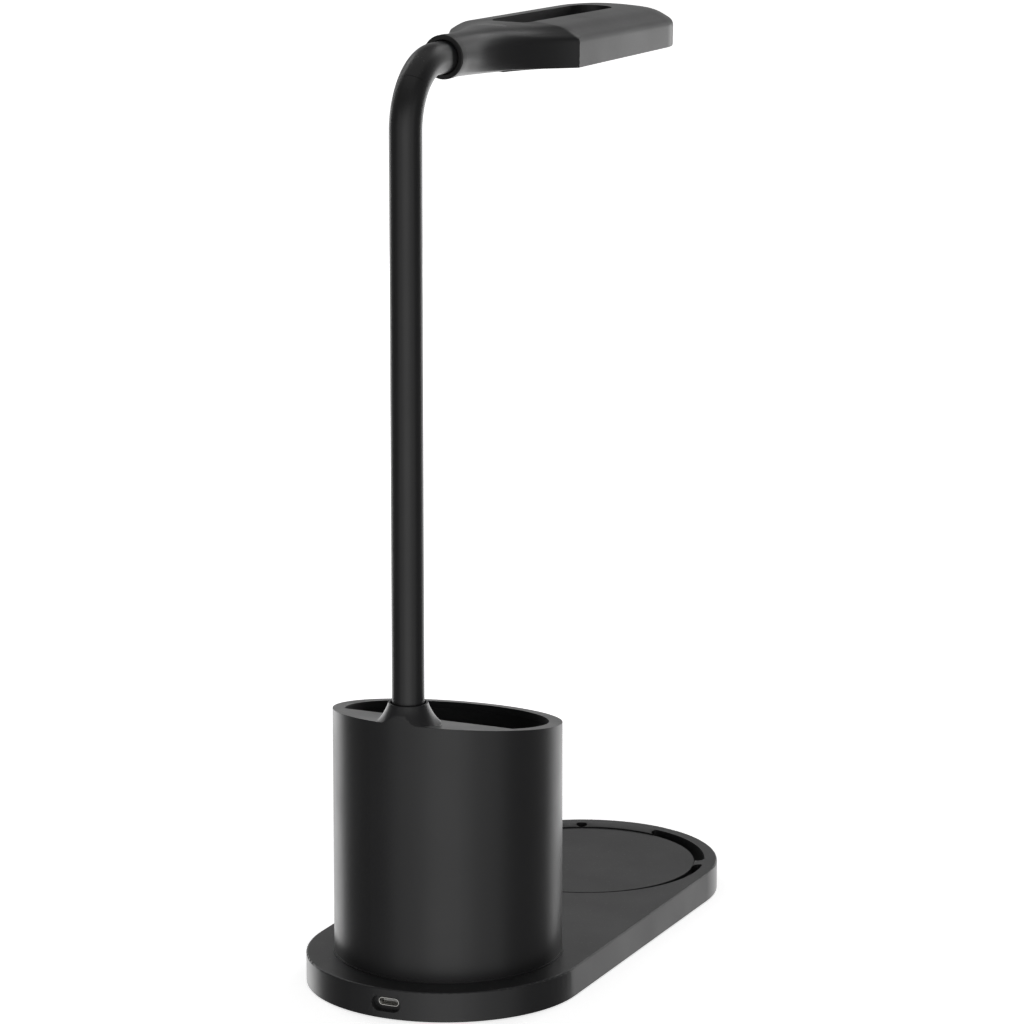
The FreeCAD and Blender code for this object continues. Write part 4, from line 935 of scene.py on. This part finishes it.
# ---------------------------------------------------------------- lamp head, frame and light
# The underside: a black frame screwed into the shell, a milky acrylic diffuser round the
# slot, and above it the white-faced aluminium board with its two rows of LEDs.
FRAME_BLACK = (0.012, 0.012, 0.0125, 1)
FRAME_EDGE = 0.15 * MM
frame_plastic = moulded_plastic("frame_plastic", FRAME_BLACK, roughness=0.45)
lower_frame = softened_copy("head_frame", "head_lower_frame", FRAME_EDGE)
put_in_place(lower_frame, frame_plastic, ["head_frame"])
HEAD_SCREW_HEAD = (2.2 * MM, 0.9 * MM)
HEAD_SCREW_SHANK = 1.2 * MM
HEAD_SCREW_LENGTH = 5.7 * MM
screws("head_screws", "head_screw_set", *HEAD_SCREW_HEAD, HEAD_SCREW_SHANK, HEAD_SCREW_LENGTH,
       pitch=HEAD_PITCH)

DIFFUSER_WHITE = (0.82, 0.81, 0.78, 1)
LIGHT_DEPTH = 2 * MM                  # how far light wanders inside it


def milky_acrylic(name, colour):
    """Translucent white plastic that scatters light inside."""
    material = moulded_plastic(name, colour, roughness=0.38, grain=3500, depth=0.08, dust=0)
    shader = material.node_tree.nodes["Principled BSDF"]
    shader.inputs["Subsurface Weight"].default_value = 0.25
    shader.inputs["Subsurface Radius"].default_value = (LIGHT_DEPTH, LIGHT_DEPTH, LIGHT_DEPTH)
    shader.inputs["Subsurface Scale"].default_value = 1.0
    return material


diffuser = softened_copy("light_diffuser", "diffuser", FRAME_EDGE)
put_in_place(diffuser, milky_acrylic("milky_acrylic", DIFFUSER_WHITE), ["light_diffuser"])
MASK_WHITE = (0.75, 0.75, 0.74, 1)
PHOSPHOR = (0.8, 0.6, 0.08, 1)
finish_node("led_board", moulded_plastic("white_mask", MASK_WHITE, roughness=0.4, dust=0))
finish_node("led_chips", moulded_plastic("phosphor", PHOSPHOR, roughness=0.3, dust=0))


# ---------------------------------------------------------------- studio
# A pale floor that keeps the lamp's shadow, in white surroundings. Soft boxes stand in front, and
# behind on the left and right, where they draw bright edges on the black. Dimmer ones stand
# straight behind, and one hangs above.
CAMERA_PLACE = Vector((-1.8907, -0.8598, 0.6690))
CAMERA_AIM = Vector((-0.01915, -0.00619, 0.18538))
LENS = 182.1
FILM_WIDTH = 36
camera = add_object("camera", bpy.data.cameras.new("camera"))
camera.location = CAMERA_PLACE
camera.rotation_euler = (CAMERA_AIM - CAMERA_PLACE).to_track_quat("-Z", "Y").to_euler()
camera.data.lens = LENS
camera.data.sensor_width = FILM_WIDTH
bpy.context.scene.camera = camera
bpy.context.scene.view_settings.view_transform = "Standard"

AMBIENT = 0.135
WHITE = (1, 1, 1, 1)
BLACK = (0, 0, 0, 1)


def surroundings():
    """World that the camera sees as white, and that lights the lamp only a little."""
    world = bpy.data.worlds.new("studio")
    world.use_nodes = True
    nodes, link = world.node_tree.nodes, world.node_tree.links.new
    background = nodes["Background"]
    background.inputs["Color"].default_value = WHITE
    path = nodes.new("ShaderNodeLightPath")
    level = add_node(nodes, "ShaderNodeMapRange", To_Min=AMBIENT, To_Max=1.0)
    link(path.outputs["Is Camera Ray"], level.inputs["Value"])
    link(level.outputs["Result"], background.inputs["Strength"])
    return world


bpy.context.scene.world = surroundings()

FLOOR_REACH = 6.0
FLOOR_GREY = (0.8, 0.8, 0.8, 1)
LIFT_NEAR, LIFT_FAR = 0.72, 1.0       # how white the camera sees it, near the lamp and far off
FADE_START, FADE_END = 0.15, 0.6


def floor_paint():
    """Matt pale paint that fades into the white surroundings away from the lamp."""
    material, shader, nodes, link = new_material("floor_paint")
    shader.inputs["Base Color"].default_value = FLOOR_GREY
    shader.inputs["Roughness"].default_value = 1.0
    shader.inputs["Specular IOR Level"].default_value = 0.0
    shader.inputs["Emission Color"].default_value = WHITE
    place = nodes.new("ShaderNodeNewGeometry")
    distance = nodes.new("ShaderNodeVectorMath")
    distance.operation = "LENGTH"
    link(place.outputs["Position"], distance.inputs[0])
    fade = add_node(nodes, "ShaderNodeMapRange", From_Min=FADE_START, From_Max=FADE_END,
                    To_Min=LIFT_NEAR, To_Max=LIFT_FAR)
    fade.interpolation_type = "SMOOTHSTEP"
    link(distance.outputs["Value"], fade.inputs["Value"])
    path = nodes.new("ShaderNodeLightPath")
    lift = combine(nodes, link, "MULTIPLY", path.outputs["Is Camera Ray"], fade.outputs["Result"])
    link(lift, shader.inputs["Emission Strength"])
    return material


def level_square(name, reach, height):
    """Level square plane round the lamp."""
    corners = ((-reach, -reach), (reach, -reach), (reach, reach), (-reach, reach))
    mesh = bpy.data.meshes.new(name)
    mesh.from_pydata([(x, y, height) for x, y in corners], [], [(0, 1, 2, 3)])
    return add_object(name, mesh)


floor = level_square("floor", FLOOR_REACH, 0)
floor.data.materials.append(floor_paint())
floor.visible_glossy = False
floor.visible_shadow = False

CAMERA_SIDE = math.degrees(math.atan2(CAMERA_PLACE.y, CAMERA_PLACE.x))
BOX_STEPS = 8


def light_up(box, strength):
    """Make a stage plane shine white without being seen."""
    glow, shader = new_material(box.name)[:2]
    shader.inputs["Base Color"].default_value = BLACK
    shader.inputs["Emission Color"].default_value = WHITE
    shader.inputs["Emission Strength"].default_value = strength
    box.data.materials.append(glow)
    box.visible_camera = False
    box.visible_shadow = False


def soft_box(name, side, spread, low, high, strength, distance=1.5):
    """Upright curved light round the lamp: its middle's angle from the camera, width and heights."""
    points = []
    for height in (low, high):
        for n in range(BOX_STEPS + 1):
            turn = math.radians(CAMERA_SIDE + side + spread * (n / BOX_STEPS - 0.5))
            points.append((distance * math.cos(turn), distance * math.sin(turn), height))
    faces = [(n, n + 1, n + BOX_STEPS + 2, n + BOX_STEPS + 1) for n in range(BOX_STEPS)]
    mesh = bpy.data.meshes.new(name)
    mesh.from_pydata(points, [], faces)
    light_up(add_object(name, mesh), strength)


soft_box("front_box", side=0, spread=110, low=-1.3, high=0.9, strength=0.58)
soft_box("front_middle", side=0, spread=42, low=-1.3, high=0.9, strength=1.07, distance=1.4)
soft_box("left_box", side=-141, spread=28, low=-1.5, high=1.7, strength=2.2)
soft_box("right_low", side=141, spread=30, low=-1.5, high=-0.2, strength=1.45)
soft_box("right_high", side=141, spread=30, low=-0.2, high=1.7, strength=2.2)
soft_box("back_box", side=180, spread=60, low=-1.3, high=0.08, strength=1.8)
soft_box("back_glow", side=180, spread=90, low=0.3, high=1.2, strength=0.43)
light_up(level_square("ceiling_light", reach=1.0, height=1.7), strength=0.4)
